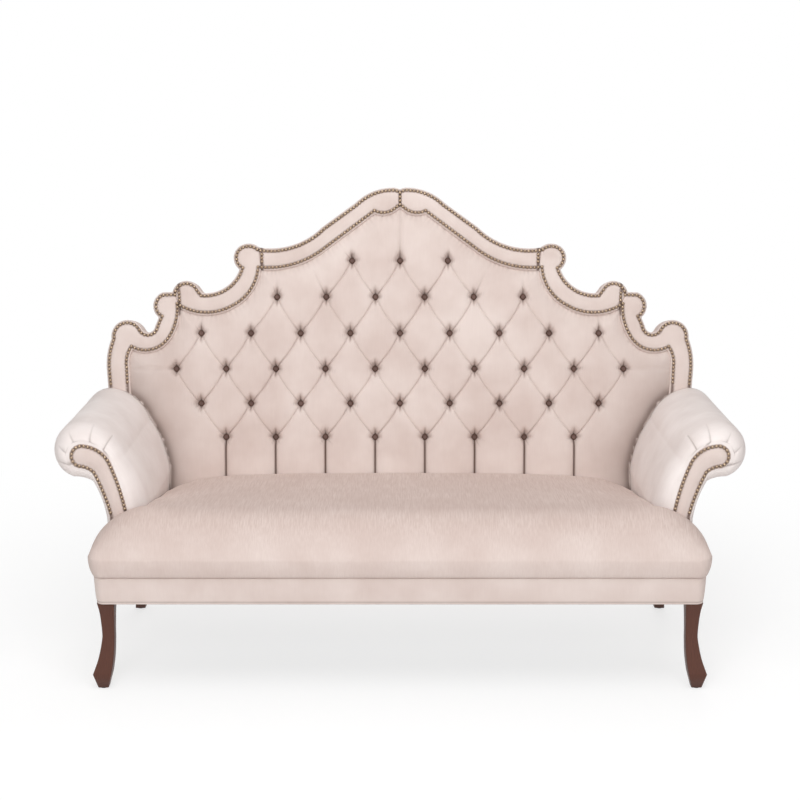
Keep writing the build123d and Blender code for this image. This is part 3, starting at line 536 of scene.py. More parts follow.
def bowed(c, r, side):
    """The pleat from a button to its neighbour in the next row, on the side given as -1 or 1."""
    t = np.linspace(0, 1, 9)
    u, v = np.full(9, c + r / 2), np.full(9, c - r / 2)
    return lattice_place(u + t, v) if side > 0 else lattice_place(u, v - t)


FLUTE_FOOT = -140.0                # where the lowest pleats end, behind the seat
# each pleat: its path, how strongly it is drawn in, and its painted shade where it starts
pleats = []
chance = np.random.default_rng(7)
for c, r in button_cells:
    for side in (-1, 1):
        if (c + side / 2, r + 1) in button_cells:
            strength = chance.uniform(0.8, 1.0) * (1.0 if side > 0 else 0.68)
            pleats.append((bowed(c, r, side), strength, 0.1))
# loose pleats at the margin: from a button, by dx and ds, with their strength
for c, r, dx, ds, strength in (
        (0, 5, 0, 170, 0.9), (1, 5, 5, 34, 0.9), (2.5, 4, -2, 66, 0.8), (1.5, 4, 42, 84, 0.6),
        (4, 3, -2, 96, 0.85), (4.5, 2, 140, -2, 0.85), (4, 1, 26, -20, 0.9)):
    for side in (-1, 1):
        x, s = side * c * ROW_PITCH[r], ROW_S[r]
        path = line((x, s), (x + side * dx, s + ds), 20)
        pleats.append((path, strength, 0.95 if ds > 0 else 0.4))
# straight flutes from the lowest buttons down to the seat
for x in button_row(0) * ROW_PITCH[0]:
    pleats.append((line((x, ROW_S[0]), (x * 0.995, FLUTE_FOOT), 30), 1.0, 1.0))
print(len(buttons), "buttons,", len(pleats), "pleats")

# %% Height of the pad
arm_loop = trace(ARM_SECTION, 8.0) * (1, 1 / RISE) - (0, BACK_Z / RISE)
pad_loop = grown(whole(inner_left), -NAIL_MARGIN)
coarse_loop = coarse(pad_loop)
PAD_EDGE, PAD_CROWN = -8.0, 15.0   # height at the border and over a full tuft
BEHIND_ARM = -4.0
PIT_N = -14.0                      # floor of a button's dimple
PIT_HALF = 11.0, 14.5              # half width and half height of its diamond
GATHER = 14.0                      # from one gather to the next along the border
RAY_REACH = 40.0                   # farthest end of the wrinkles round a button
PLEAT_REACH = 70.0                 # how far from a pleat its pull is felt
SWELL_EDGE, SWELL_ARM, SWELL_POWER = 36.0, 30.0, 1.1
# how wide a pleat's pull and its groove are, and its pull's share: first a flute, then a pleat
FLUTE_PULL, PLEAT_PULL = (13.0, 3.0, 0.62), (9.0, 2.2, 0.22)
PLEAT_FADE = 25.0                  # a pleat fades out over this length at its end
GROOVE, GROOVE_AT_BUTTON = 2.8, 6.0     # depth of a groove, and what a button adds to it
BUTTON_PULL = 18.0                 # how far from a button its folds are deeper and painted darker
RAY_DEPTH, GATHER_DEPTH, GATHER_REACH = 1.6, 1.8, 9.0
# the upright notch over and under a button: depth, half width, end of its full part, run to its end
NOTCH_DEPTH, NOTCH_HALF, NOTCH_FULL, NOTCH_RUN = 5.0, 2.4, 12.0, 18.0
# painted shade in each: wrinkle, notch, dimple, gather, and beside an arm wide and close
RAY_DARK, NOTCH_DARK, PIT_DARK, GATHER_DARK, ARM_DARK = 0.3, 0.7, 0.9, 0.25, (0.46, 0.28)
ARM_SHADE_WIDE, ARM_SHADE_CLOSE = 70.0, 17.0
PAD_WAVE = 0.7                     # unevenness of the whole pad


def rays(flat):
    """Short wrinkles that run out from each button in six uneven directions, from 0 to 1."""
    star = np.zeros(len(flat))
    chance = np.random.default_rng(17)
    for x, s in buttons:
        dx, ds = (flat - (x, s)).T
        near = np.hypot(dx, ds) < RAY_REACH
        away, angle = np.hypot(dx[near], ds[near]), np.arctan2(ds[near], dx[near])
        for turn in np.arange(6) * math.tau / 6 + chance.uniform(-0.35, 0.35, 6):
            off = away * np.sin(angle - turn)
            ray = np.exp(-(off / 1.7) ** 2) * (np.cos(angle - turn) > 0)
            ray *= np.clip((chance.uniform(24, 38) - away) / 20, 0, 1)
            star[near] = np.maximum(star[near], ray)
    return star


def pad_height(flat):
    """The pad's height, and the shade painted into its folds and beside the arms.

    It swells as 1 - exp(-(d / 36)^1.1) away from the border, and alike away from the arms. Each
    pleat takes away a share exp(-d / 9) of the swelling and cuts a groove, exp(-(d / 2.2)^2). Both
    are wider at the flutes. A button's dimple is a diamond, |dx| / 11 + |ds| / 14.5, and the cloth
    is gathered at the border.
    """
    border = np.maximum(depth_in(flat, coarse_loop), 0)
    _, run_at = nearest(flat, closed(coarse_loop))
    arm, _ = nearest(on_left(flat), closed(arm_loop))
    behind = inside(on_left(flat), arm_loop)
    arm = np.where(behind, 0, arm)
    full = 1 - np.exp(-(border / SWELL_EDGE) ** SWELL_POWER)
    full *= 1 - np.exp(-(arm / SWELL_ARM) ** SWELL_POWER)
    ends, diamond = np.full(len(flat), np.inf), np.full(len(flat), np.inf)
    for x, s in buttons:
        across, up = np.abs(flat - (x, s)).T
        ends = np.minimum(ends, np.hypot(across, up))
        diamond = np.minimum(diamond, across / PIT_HALF[0] + up / PIT_HALF[1])
    groove, shade = np.zeros(len(flat)), np.zeros(len(flat))
    for path, strength, dark in pleats:
        low, high = path.min(0) - PLEAT_REACH, path.max(0) + PLEAT_REACH
        near = np.all((flat > low) & (flat < high), axis=1)
        away, run = nearest(flat[near], path)
        fade = np.clip((runs_of(path)[-1] - run) / PLEAT_FADE, 0.15, 1)
        flute = path[-1, 1] < FLUTE_FOOT + 1
        pull, width, taken = FLUTE_PULL if flute else PLEAT_PULL
        full[near] *= 1 - taken * strength * fade ** 0.5 * np.exp(-away / pull)
        depth = strength * fade * np.exp(-(away / width) ** 2)
        groove[near] = np.maximum(groove[near], depth)
        pleat_shade = 0.12 + 0.6 * np.exp(-ends[near] / BUTTON_PULL) + dark * np.exp(-(run / 26) ** 2)
        shade[near] = np.maximum(shade[near], depth * (1.0 if flute else np.minimum(pleat_shade, 1)))
    n = PAD_EDGE + (PAD_CROWN - PAD_EDGE) * full
    n -= groove * (GROOVE + GROOVE_AT_BUTTON * np.exp(-ends / BUTTON_PULL))
    star = rays(flat)
    n -= RAY_DEPTH * star
    shade = np.maximum(shade, RAY_DARK * star)
    for x, s in buttons:
        notch = np.clip(1 - (np.abs(flat[:, 1] - s) - NOTCH_FULL) / NOTCH_RUN, 0, 1)
        notch *= np.exp(-((flat[:, 0] - x) / NOTCH_HALF) ** 2)
        n -= NOTCH_DEPTH * notch
        shade = np.maximum(shade, NOTCH_DARK * notch)
    pit = np.exp(-(np.maximum(diamond - 0.9, 0) / 0.7) ** 1.6)
    n = n * (1 - pit) + PIT_N * pit
    shade = np.maximum(shade, PIT_DARK * np.clip((1.3 - diamond) / 0.5, 0, 1))
    wave = 0.5 + 0.5 * np.sin(run_at / GATHER * math.tau + 1.7 * np.sin(run_at / 47))
    drawn = wave * np.exp(-border / GATHER_REACH) * (border > 0.5)
    n += PAD_WAVE * ripple(flat, 210, 3) - GATHER_DEPTH * drawn
    shade = np.maximum(shade, GATHER_DARK * drawn)
    # painted shade on the pad beside each arm, a wide one and a close one
    beside_arm = (ARM_DARK[0] * np.exp(-arm / ARM_SHADE_WIDE)
                  + ARM_DARK[1] * np.exp(-(arm / ARM_SHADE_CLOSE) ** 2))
    shade = np.maximum(shade, beside_arm)
    return np.where(behind, BEHIND_ARM, n), np.where(behind, 0, shade)


# %% The pad's mesh
def crowded(first, last):
    """Counter values from first to last cell, crowded at the half-integers, where pleats run."""
    cell = np.r_[CREASE_STEPS, 1 - CREASE_STEPS[-2:0:-1]]
    cells = np.arange(first, last) + 0.5
    return np.r_[(cells[:, None] + cell).ravel(), last + 0.5]


# how far the points of a straight column lie below the lattice
DROPS = (0, 3, 7, 12, 18, 25, 33, 42, 52, 63, 75, 88, 102, 118, 140, 165, 195, 225)
LEVEL_RUN = 60.0                   # the columns' points lie level from this far down
PAD_TUCK = 5.0                     # pad under the border's edge
PAD_REAR = -21.5                   # just off the board


def tufted_pad():
    """The lattice above the lowest row of buttons, joined to the straight columns below it."""
    u, v = crowded(-7, 10), crowded(-11, 6)
    step = 2 * (len(CREASE_STEPS) - 1)
    shift = 4 * step                       # u[p] = v[q] where p - q = -shift
    grid = lattice_place(u[:, None], v[None, :])
    number = np.arange(len(u) * len(v)).reshape(len(u), len(v))
    p, q = np.meshgrid(np.arange(len(u) - 1), np.arange(len(v) - 1), indexing="ij")
    row = u[p] - v[q]
    whole_cell = row > 1e-6
    on_line = np.abs(row) < 1e-6
    a, b, c, d = number[p, q], number[p + 1, q], number[p + 1, q + 1], number[p, q + 1]
    level = (np.abs(u[p] + v[q]) > 9.0) & (np.abs(row - 2) < 1)
    steep = whole_cell & ~level & ~on_line
    flat_cut = whole_cell & level & ~on_line
    cuts = ((steep, (a, b, d)), (steep, (b, c, d)), (flat_cut, (a, b, c)), (flat_cut, (a, c, d)),
            (on_line, (a, b, c)))
    triangles = np.vstack([np.stack([t[which] for t in three], axis=1) for which, three in cuts])
    places = grid.reshape(-1, 2)
    # the columns below: they start at the lattice's lowest line and go straight down
    i = np.arange(len(u))
    i = i[(i + shift >= 0) & (i + shift < len(v))]
    top = grid[i, i + shift]
    foot = (SEAT_BOTTOM + 1 - BACK_Z) / RISE
    drop = np.r_[DROPS, ROW_S[0] - foot]
    share = np.clip(drop / LEVEL_RUN, 0, 1)[:, None]
    level_s = top[:, 1] * (1 - share) + ROW_S[0] * share
    columns = np.stack([np.broadcast_to(top[:, 0], level_s.shape), level_s - drop[:, None]], axis=2)
    first = len(places)
    fresh = first + np.arange(columns[1:, :, 0].size).reshape(-1, len(i))
    lower = np.vstack([number[i, i + shift], fresh])
    a, b = lower[:-1, :-1].ravel(), lower[:-1, 1:].ravel()
    c, d = lower[1:, 1:].ravel(), lower[1:, :-1].ravel()
    below = np.vstack([np.stack(three, axis=1) for three in ((a, d, c), (a, c, b))])
    places = np.vstack([places, columns[1:].reshape(-1, 2)])
    triangles = np.vstack([triangles, below])
    # keep every triangle with a corner in the border, and tuck the corners outside under the border
    within = np.all((places > pad_loop.min(0)) & (places < pad_loop.max(0)), axis=1)
    within[within] = depth_in(places[within], coarse_loop) > 0
    triangles = triangles[within[triangles].any(axis=1)]
    used, triangles = np.unique(triangles, return_inverse=True)
    places, triangles, outside = places[used], triangles.reshape(-1, 3), ~within[used]
    loop = closed(coarse_loop)
    away, run_at = nearest(places[outside], loop)
    edge = at_runs(loop, run_at)
    share = np.minimum(1, PAD_TUCK / np.maximum(away, 1e-6))[:, None]
    places[outside] = edge + (places[outside] - edge) * share
    n, shade = pad_height(places)
    piece = put_mesh("tufted_pad", on_back(places, n), triangles.tolist())
    # painted shade in the pad's pleats, dimples and gathers, and beside the arms
    mark(piece, "fold", shade)
    return close_behind(piece)


def close_behind(piece):
    """Closes an open skin: its edge is carried to the board, and a flat face fills the rear."""
    work = bmesh.new()
    work.from_mesh(piece.data)
    rim = [edge for edge in work.edges if edge.is_boundary]
    made = bmesh.ops.extrude_edge_only(work, edges=rim)["geom"]
    corners = [item for item in made if isinstance(item, bmesh.types.BMVert)]
    flat = seen_on_back(np.array([corner.co for corner in corners]) / MM)
    for corner, place in zip(corners, on_back(flat, PAD_REAR) * MM):
        corner.co = place
    bmesh.ops.holes_fill(work, edges=[edge for edge in work.edges if edge.is_boundary])
    print("open edges left:", sum(edge.is_boundary for edge in work.edges))
    return put_back(work, piece)


report(dress(tufted_pad(), ["tufted_back_pad"], "upholstery"))

# %% [markdown]
# Each button is a covered dome with a pinched rim. They are all alike, so one profile is spun into
# a small mesh, and copies of its points are set at each place with a little tilt.

# %% Buttons
BUTTON_R, BUTTON_RISE = 9.5, 5.0   # what the folds leave in sight of a button
BUTTON_TILT = 0.10                 # steepest tilt of a button, as a slope
profile_r = np.array([0, 3, 6, 8.5, 10.4, 11.6, 12, 11.4, 10]) * BUTTON_R / 12
profile_n = np.array([1, 0.965, 0.86, 0.7, 0.5, 0.27, 0.08, -0.12, -0.2]) * BUTTON_RISE


def spun(radii, heights, count=20):
    """A profile turned round the n axis: x = r cos t, s = r sin t, with a point at its top."""
    t = np.arange(count) / count * math.tau
    rings = np.stack([radii[1:, None] * np.cos(t), radii[1:, None] * np.sin(t),
                      heights[1:, None] + 0 * t], axis=2).reshape(-1, 3)
    points = np.vstack([[(0, 0, heights[0])], rings])
    k = np.arange(count)
    cap = np.stack([0 * k, 1 + k, 1 + (k + 1) % count], axis=1).tolist()
    base = [(1 + (len(radii) - 2) * count + k[::-1]).tolist()]
    return points, cap + grid_faces(len(radii) - 1, count, around=True, first=1) + base


def repeated(points, faces, count):
    """The faces of several copies of a mesh, one after another."""
    return [[corner + copy * len(points) for corner in face]
            for copy in range(count) for face in faces]


button_points, button_faces = spun(profile_r, profile_n)
tilts = np.random.default_rng(11).uniform(-BUTTON_TILT, BUTTON_TILT, (len(buttons), 2))
all_buttons = []
for (x, s), tilt in zip(buttons, tilts):
    height = button_points[:, 2] + button_points[:, :2] @ tilt + PIT_N + 0.6
    all_buttons.append(on_back(button_points[:, :2] + (x, s), height))
button_piece = face_outward(put_mesh(
    "button_tops", np.vstack(all_buttons), repeated(button_points, button_faces, len(buttons))))
# painted shade on each button's rim, where it sinks into its dimple
rim = np.clip((np.hypot(*button_points[:, :2].T) / BUTTON_R - 0.45) / 0.45, 0, 1)
mark(button_piece, "fold", np.resize(rim, len(button_piece.data.vertices)))
report(dress(button_piece, ["back_buttons"], "button_cloth"))

# %% [markdown]
# ## The border and the outside back
#
# A plain band of stuffed cloth frames the pad in six panels. A panel is a flat shape with a
# rounded edge, a low crown, and a dip where each row of nails holds it down. The outside back is
# one large panel of the same kind, tighter and flatter.

# %% Border panels
BORDER_FLOOR = -18.0
EDGE_R = 5.0                       # rounding of a panel's edge
BORDER_CROWN, HELD_REACH = 3.4, 11.0    # a border's crown, and how far the nails hold it down


def edge_line(left, amount):
    """The open line beside a line of nails, from the left foot over the top to the right foot.

    Near the foot the offset is left out, and its last straight run is drawn on to the foot.
    """
    path = grown(whole(left), amount)
    path = path[path[:, 1] > BACK_FOOT + 2 * NAIL_MARGIN]
    slope = (path[1] - path[0]) / (path[1, 1] - path[0, 1])
    foot = path[0] + slope * (BACK_FOOT - path[0, 1])
    return np.vstack([foot, path, foot * (-1, 1)])


outside_path, inside_path = edge_line(outer_left, NAIL_MARGIN), edge_line(inner_left, -NAIL_MARGIN)


def stretch(path, start, end, step=3.2):
    """The stretch of a path between the places nearest to two points, walked at an even step."""
    _, (first, last) = nearest(np.array([start, end], float), path)
    return at_runs(path, np.linspace(first, last, max(4, round(abs(last - first) / step) + 1)))


def border_loop(outer_ends, inner_ends):
    """A border panel's outline: the outer edge from end to end, and the inner edge back."""
    outer, inner = stretch(outside_path, *outer_ends), stretch(inside_path, *inner_ends)[::-1]
    far, near = line(outer[-1], inner[0], 3.2), line(inner[-1], outer[0], 3.2)
    return np.vstack([outer, far[1:-1], inner, near[1:-1]])


NAIL_LINES = (outer_left, inner_left, trace(UPPER_SEAM), trace(LOWER_SEAM),
              line((0, 862), (0, 896), 9.0))


def held_at(flat):
    """The distance to the nearest line of nails of the border."""
    return np.min([nearest(on_left(flat), path)[0] for path in NAIL_LINES], axis=0)


def border_front(flat, away):
    """A border's height: a rounded edge, and a low crown between the nails, which hold it down.

    The crown is 3.4 (1 - exp(-(h / 11)^2)), with h the distance to the nails.
    """
    edge = EDGE_R * (quarter(away / EDGE_R) - 1)
    crown = BORDER_CROWN * (1 - np.exp(-(held_at(flat) / HELD_REACH) ** 2))
    crown *= np.clip(away / 14, 0, 1)
    return edge + crown - 0.5 + 0.35 * ripple(flat, 60, 5)


foot_out, foot_in = (-827, BACK_FOOT), (-757, BACK_FOOT)
lower_out, lower_in, upper_out, upper_in = (-686, 590), (-680, 545), (-436, 728), (-428, 662)
mid_out, mid_in = (-0.01, 905), (-0.01, 851)
border_ends = {"side": ((foot_out, lower_out), (foot_in, lower_in)),
               "scroll": ((lower_out, upper_out), (lower_in, upper_in)),
               "crest": ((upper_out, mid_out), (upper_in, mid_in))}
for part, ends in border_ends.items():
    loop = border_loop(*ends)
    for side, sign in SIDES:
        turned = loop if sign > 0 else loop[::-1] * (-1, 1)
        made = stuffed_panel(f"{part}_border_{side}", turned, (1.0, 2.4, 4.2, 7.0), 5.0,
                             border_front, BORDER_FLOOR, on_back)
        # painted shade in the gaps between the nails
        mark(made, "fold", nail_gap_shade(held_at(seen_on_back(places_mm(made)))))
        report(dress(made, [f"border_{part}_{side}"], "upholstery"))

# %% Nails
NAIL_R, NAIL_RISE, NAIL_PITCH = 5.0, 3.4, 11.3
HEAD_R = np.array([0, 0.42, 0.76, 0.97, 1.0]) * NAIL_R
HEAD_N = np.array([1, 0.9, 0.62, 0.2, -0.25]) * NAIL_RISE
APART = 2.02 * NAIL_R              # least distance between the middles of two nails
CORNER_COS = 0.8                   # legs that turn further than this cosine meet in a sharp corner


def nail_line(outline):
    """Nails along an outline at an even pitch, with one in each of its sharp corners."""
    runs = []
    for leg in legs_of(outline, 1.0):
        ahead = (leg[1] - leg[0]) / np.linalg.norm(leg[1] - leg[0])
        last = runs[-1][-1] - runs[-1][-2] if runs else None
        if runs and last @ ahead > CORNER_COS * np.linalg.norm(last):
            runs[-1] = np.vstack([runs[-1], leg[1:]])
        else:
            runs.append(leg)
    return np.vstack([even(run, NAIL_PITCH) for run in runs])


def spaced(spots):
    """The places, without any whose nail would run into one before it."""
    kept = []
    for x, y in spots:
        if all((a - x) ** 2 + (b - y) ** 2 > APART ** 2 for a, b in kept):
            kept.append((x, y))
    return np.array(kept)


def nail_heads(name, node, spots, to_world):
    """Domed heads of a few faces each, set into the cloth a little unevenly."""
    dome, faces = spun(HEAD_R, HEAD_N, 10)
    sunk = np.random.default_rng(len(spots)).uniform(-0.35, 0.25, len(spots))
    heads = [to_world(dome[:, :2] + spot, dome[:, 2] + n) for spot, n in zip(spots, sunk)]
    piece = face_outward(put_mesh(name, np.vstack(heads), repeated(dome, faces, len(spots))))
    report(dress(piece, [node], "antique_brass"))


on_seams = np.vstack([nail_line(UPPER_SEAM), nail_line(LOWER_SEAM)])
on_seams = on_seams[inside(on_seams, whole(outer_left)) & ~inside(on_seams, whole(inner_left))]
over_arm = (SEAT_BOTTOM + ARM_RISE - BACK_Z) / RISE + NAIL_R + 2
outer_spots, inner_spots = (spaced(mirrored_too(row[row[:, 1] > over_arm])) for row in
                            (nail_line(OUTER_NAILS), nail_line(INNER_NAILS)))
MIDDLE_ROW = ((0, 871.5), (0, 883.5))
divider_spots = spaced(np.vstack([outer_spots, inner_spots, mirrored_too(on_seams), MIDDLE_ROW]))
divider_spots = divider_spots[len(outer_spots) + len(inner_spots):]
for name, spots in (("outer_border", outer_spots), ("inner_border", inner_spots),
                    ("divider", divider_spots)):
    nail_heads(f"{name}_heads", f"{name}_nails", spots, on_back)

# %% Outside back and the edge of the back
REAR_FLOOR = 70.0                  # where the outside back lies on the frame
REAR_EDGE, REAR_CROWN, REAR_CROWN_RUN = 6.0, 2.0, 260.0


def on_rear(flat, n):
    """Places for points on the rear of the back, with n backward from the frame."""
    return on_back(flat, -REAR_FLOOR - n)


def rear_front(flat, away):
    """A tight outside back: a rounded edge, and a low crown over its whole width."""
    edge = 3.5 + REAR_EDGE * quarter(away / REAR_EDGE)
    return edge + REAR_CROWN * quarter(away / REAR_CROWN_RUN) + 0.5 * ripple(flat, 330, 8)


rear_edge = stretch(outside_path, foot_out, (-foot_out[0], BACK_FOOT), 4.0)
rear_loop = np.vstack([rear_edge, line(rear_edge[-1], rear_edge[0], 8.0)[1:-1]])
rear_panel = stuffed_panel("rear_panel", grown(rear_loop, -3.2), (1.2, 2.8, 5.0, 10.0), 18.0,
                           rear_front, 0.0, on_rear)
report(dress(rear_panel, ["outside_back_panel"], "upholstery"))


def carried(path, section):
    """Rings of a section carried along a flat path: how far outward and how high each point lies.

    Outward is the path's direction turned a quarter away from the middle, and the direction at a
    point is the difference between its two neighbours.
    """
    ahead = np.gradient(path, axis=0)
    ahead /= np.linalg.norm(ahead, axis=1)[:, None]
    out = np.stack([-ahead[:, 1], ahead[:, 0]], axis=1)
    out *= np.sign((out * path).sum(axis=1).mean())
    section = np.array(section, float)
    flat = path[:, None] + out[:, None] * section[None, :, :1]
    return np.concatenate([flat, np.broadcast_to(section[:, 1:], (*flat.shape[:2], 1))], axis=2)


# out from the edge of the border, and n
EDGE_SECTION = ((-2.6, -19), (-0.6, -19), (0.2, -21), (0.7, -30), (1.0, -50), (0.8, -70),
                (0.2, -78), (-0.8, -80.6), (-2.6, -81))
rings = carried(rear_edge, EDGE_SECTION)
flat = rings[:, :, :2].reshape(-1, 2)
edge_band = tube("edge_band", on_back(flat, rings[:, :, 2].ravel()).reshape(rings.shape))
report(dress(edge_band, ["back_edge_strip"], "upholstery"))

# %% [markdown]
# ## The arms
#
# An arm is a padded scroll. Seen from the front, the nailed facing has the shape of the scroll,
# and behind it the padding swells out to the full section, as a sleeve over a ball. So the padding
# is a family of sections between those two outlines, whose share of the full one follows a quarter
# of a circle. Small pleats run out from the nails over the top of the scroll.

# %% Arm padding
NOSE = 66.0                        # depth over which the padding swells to its full section
NOSE_RINGS = (1.0, 1.6, 2.6, 4.2, 6.5, 9.5, 13, 17, 21.5, 26.5, 32, 38, 45, 52, 59, NOSE)
REAR_PITCH = 14.0
LEG_COUNTS = (30, 26, 60, 84, 84, 60, 22, 36)    # points along each leg of an arm's outline
FOOT_COUNT = 12                    # and along its foot


def walked(outline):
    """An arm's outline as a ring with a fixed number of points along each leg."""
    ring = []
    for leg, count in zip(legs_of(outline, 1.5), LEG_COUNTS):
        number = np.arange(len(leg))
        pick = np.arange(count) * number[-1] / count
        ring.append(np.stack([np.interp(pick, number, axis) for axis in leg.T], axis=1))
    share = (np.arange(FOOT_COUNT) / FOOT_COUNT)[:, None]
    foot = np.array(outline[-1][-1]) * (1 - share) + np.array(outline[0]) * share
    return np.vstack([*ring, foot])


def arm_rings():
    """The rings of an arm's padding, from the facing to the back."""
    small, large = walked(FACING_NAILS), walked(ARM_SECTION)
    behind = np.array(NOSE_RINGS)
    share = 0.16 + 0.84 * quarter(behind / NOSE)
    nose = small + (large - small) * share[:, None, None]
    depth = np.broadcast_to(ARM_FRONT + behind[:, None], nose.shape[:2])
    rear_y = raked(large[:, 1])
    steps = round((rear_y.max() - ARM_FRONT - NOSE) / REAR_PITCH)
    along = (np.arange(1, steps + 1) / steps)[:, None]
    body_y = ARM_FRONT + NOSE + along * (rear_y - ARM_FRONT - NOSE)
    section = np.vstack([nose, np.broadcast_to(large, (steps, *large.shape))])
    return np.stack([section[:, :, 0], np.vstack([depth, body_y]), section[:, :, 1]], axis=2)


PLEAT_DEPTH = 62.0                 # how far behind the facing the small pleats end
# a small pleat: depth and half width of its groove and of the dip around it, and its painted shade
PLEAT_GROOVE, PLEAT_DIP, PLEAT_DARK = (3.0, 2.2), (2.0, 9.0), (0.5, 1.9)
# where pleats leave the facing, seen from the front, and where they run out
ARM_PLEATS = (((-860, 678), (-856, 736)), ((-892, 672), (-920, 720)), ((-824, 668), (-794, 718)),
              ((-912, 650), (-952, 682)), ((-912, 626), (-962, 638)))


def arm_padding():
    """The left arm's padding with its pleats and a slow unevenness, moved along its own normals.

    It also gives the shade painted into the pleats.
    """
    rings = arm_rings()
    ahead, around = np.gradient(rings, axis=0), np.gradient(rings, axis=1)
    normal = np.cross(around, ahead)
    normal /= np.linalg.norm(normal, axis=2)[:, :, None] + 1e-9
    middle = rings.mean(axis=(0, 1))
    normal *= np.sign(((rings - middle) * normal).sum(axis=2).mean())
    flat = rings[:, :, ::2].reshape(-1, 2)
    shift, shade = np.zeros(len(flat)), np.zeros(len(flat))
    behind = (rings[:, :, 1] - ARM_FRONT).ravel()
    for start, end in ARM_PLEATS:
        away, run = nearest(flat, line(start, end, 5.0))
        length = math.dist(start, end)
        pinch = np.clip(1.2 * (1 - run / length), 0, 1) ** 0.7 * (behind < PLEAT_DEPTH)
        shift -= pinch * (bell(away, *PLEAT_GROOVE) + bell(away, *PLEAT_DIP))
        shade = np.maximum(shade, pinch * bell(away, *PLEAT_DARK))
    fade = np.clip(behind / 30, 0, 1)
    shift += 0.9 * fade * ripple(rings[:, :, 1:].reshape(-1, 2), 170, 21)
    rings += normal * shift.reshape(rings.shape[:2])[:, :, None]
    return rings, shade


left_rings, arm_shade = arm_padding()
for side, sign in SIDES:
    arm = tube(f"arm_padding_{side}", left_rings * (sign, 1, 1))
    # painted shade in the arm's pleats
    mark(arm, "fold", arm_shade)
    report(dress(arm, [f"arm_pad_{side}"], "upholstery"))

# %% Facings and outside panels
FACING_R = 4.5                     # rounding of a facing's edge, and its dome
SKIN, SKIN_SWELL = 3.0, 1.5        # outside arm panel: its thickness at its ends, and more between
SKIN_LENGTH = 385.0
facing_line = trace(FACING_NAILS)
facing_foot = line(FACING_NAILS[-1][-1], FACING_NAILS[0], 3.0)[1:-1]
facing_loop = grown(np.vstack([facing_line, facing_foot]), 8.0)


def facing_front(flat, away):
    """A facing's height: rounded at its edge, held down by the nails and domed inside them."""
    held, _ = nearest(on_left(flat), facing_line)
    dome = FACING_R * (away > 9) * (1 - np.exp(-(held / 13) ** 2))
    return FACING_R * (quarter(away / FACING_R) - 1) - 0.4 + dome


def outside_panel_rings():
    """The skin under the roll of the left arm: the line of the section, given a thickness."""
    start, waist = ARM_SECTION[5][1], ARM_SECTION[6]
    corner, foot = (-SIDE_HALF, SEAT_BOTTOM), (-SIDE_HALF, RAIL_BOTTOM)
    path = np.vstack([arc(start, *waist, 6.0), line(waist[1], corner, 12.0)[1:],
                      line(corner, foot, 10.0)[1:]])
    swell = np.sin(np.linspace(0, math.pi, len(path)))[:, None] * (SKIN_SWELL, 0)
    loop = np.vstack([path + (0.5, 0), (path - (SKIN, 0) - swell)[::-1]])
    share = np.linspace(0, 1, 40)[:, None]
    front = ARM_FRONT + NOSE
    y = front + share * (raked(loop[:, 1]) + 3 - front)
    edge = np.minimum(share, 1 - share) * SKIN_LENGTH
    thin = 1 - 0.65 * (1 - quarter(edge / 5.0))
    inner = np.r_[path[:, 0], path[::-1, 0]] + 0.5
    x = inner + (loop[:, 0] - inner) * thin
    return np.stack([x, y, np.broadcast_to(loop[:, 1], y.shape)], axis=2)


for side, sign in SIDES:
    loop = facing_loop if sign > 0 else facing_loop[::-1] * (-1, 1)
    facing = stuffed_panel(f"scroll_facing_{side}", loop, (0.9, 2.0, 3.6, 6.0), 4.6,
                           facing_front, -13.5, on_arm_front)
    held, _ = nearest(on_left(places_mm(facing)[:, ::2]), facing_line)
    # painted shade in the gaps between the nails
    mark(facing, "fold", nail_gap_shade(held))
    report(dress(facing, [f"arm_facing_{side}"], "upholstery"))
    panel = tube(f"outer_arm_{side}", outside_panel_rings() * (sign, 1, 1))
    report(dress(panel, [f"outside_arm_panel_{side}"], "upholstery"))

facing_spots = nail_line(FACING_NAILS)
# the seat's lobe hides the nails below this line
lobe_line = np.interp(facing_spots[:, 0], (-812, -769), (478, 500))
facing_spots = spaced(facing_spots[facing_spots[:, 1] > lobe_line])
for side, sign in SIDES:
    nail_heads(f"arm_heads_{side}", f"arm_nails_{side}", facing_spots * (sign, 1), on_arm_front)

# %% [markdown]
# ## The seat
#
# The cushion is T shaped: its front reaches past the arms as two lobes. Its outline is filled like
# a panel, but it is tall, so its height rises in a curve from every edge: a wide one along the
# front and the lobes' sides, and a tight one where an arm holds it. Below its widest line the front
# draws in again to the piped seam.

# %% Cushion
SWELL_Z = SEAT_BOTTOM + 56.0       # height of the widest line
SEAT_HALF = SIDE_HALF - ARM_IN - 1.0
FRONT_ROLL, SIDE_ROLL = 117.0, 190.0    # how far in from the front and the sides it rises
FRONT_POWER, SIDE_POWER = 2.7, 1.28     # how steeply
# where it is held: the share of its height left there, and how far that reaches
AT_ARM, AT_FACING, AT_BACK = (0.93, 12.0), (0.96, 10.0), (0.90, 14.0)
# the crown's height over the seat frame: its depth y, then the height at each x of CROWN_X
CROWN_X = (0, 300, 500, 611, 682, 709, 870)
CROWN = ((-310, (172, 172, 173, 176, 181, 184, 186)), (-180, (168, 168, 167, 165, 162, 160, 160)),
         (-80, (164, 163, 160, 154, 144, 138, 138)), (57, (156, 155, 150, 142, 126, 116, 116)),
         (150, (152, 151, 146, 135, 110, 94, 94)))
CORNER_R = 42.0                    # rounding of the lobes in plan
SWELL_IN = 13.0                    # how far the front draws in from its widest line to the seam
SEAT_REAR = raked(SEAT_BOTTOM + 120, 9.0)
LOBE_REAR = ARM_FRONT - 1.5        # the lobes end just in front of the facings
CUSHION_RINGS = (1.2, 3.0, 5.5, 9.0, 13.5, 19.0, 26.0, 34.0, 44.0)
WALL_ROWS = 8                      # rows of points from the widest line to the underside
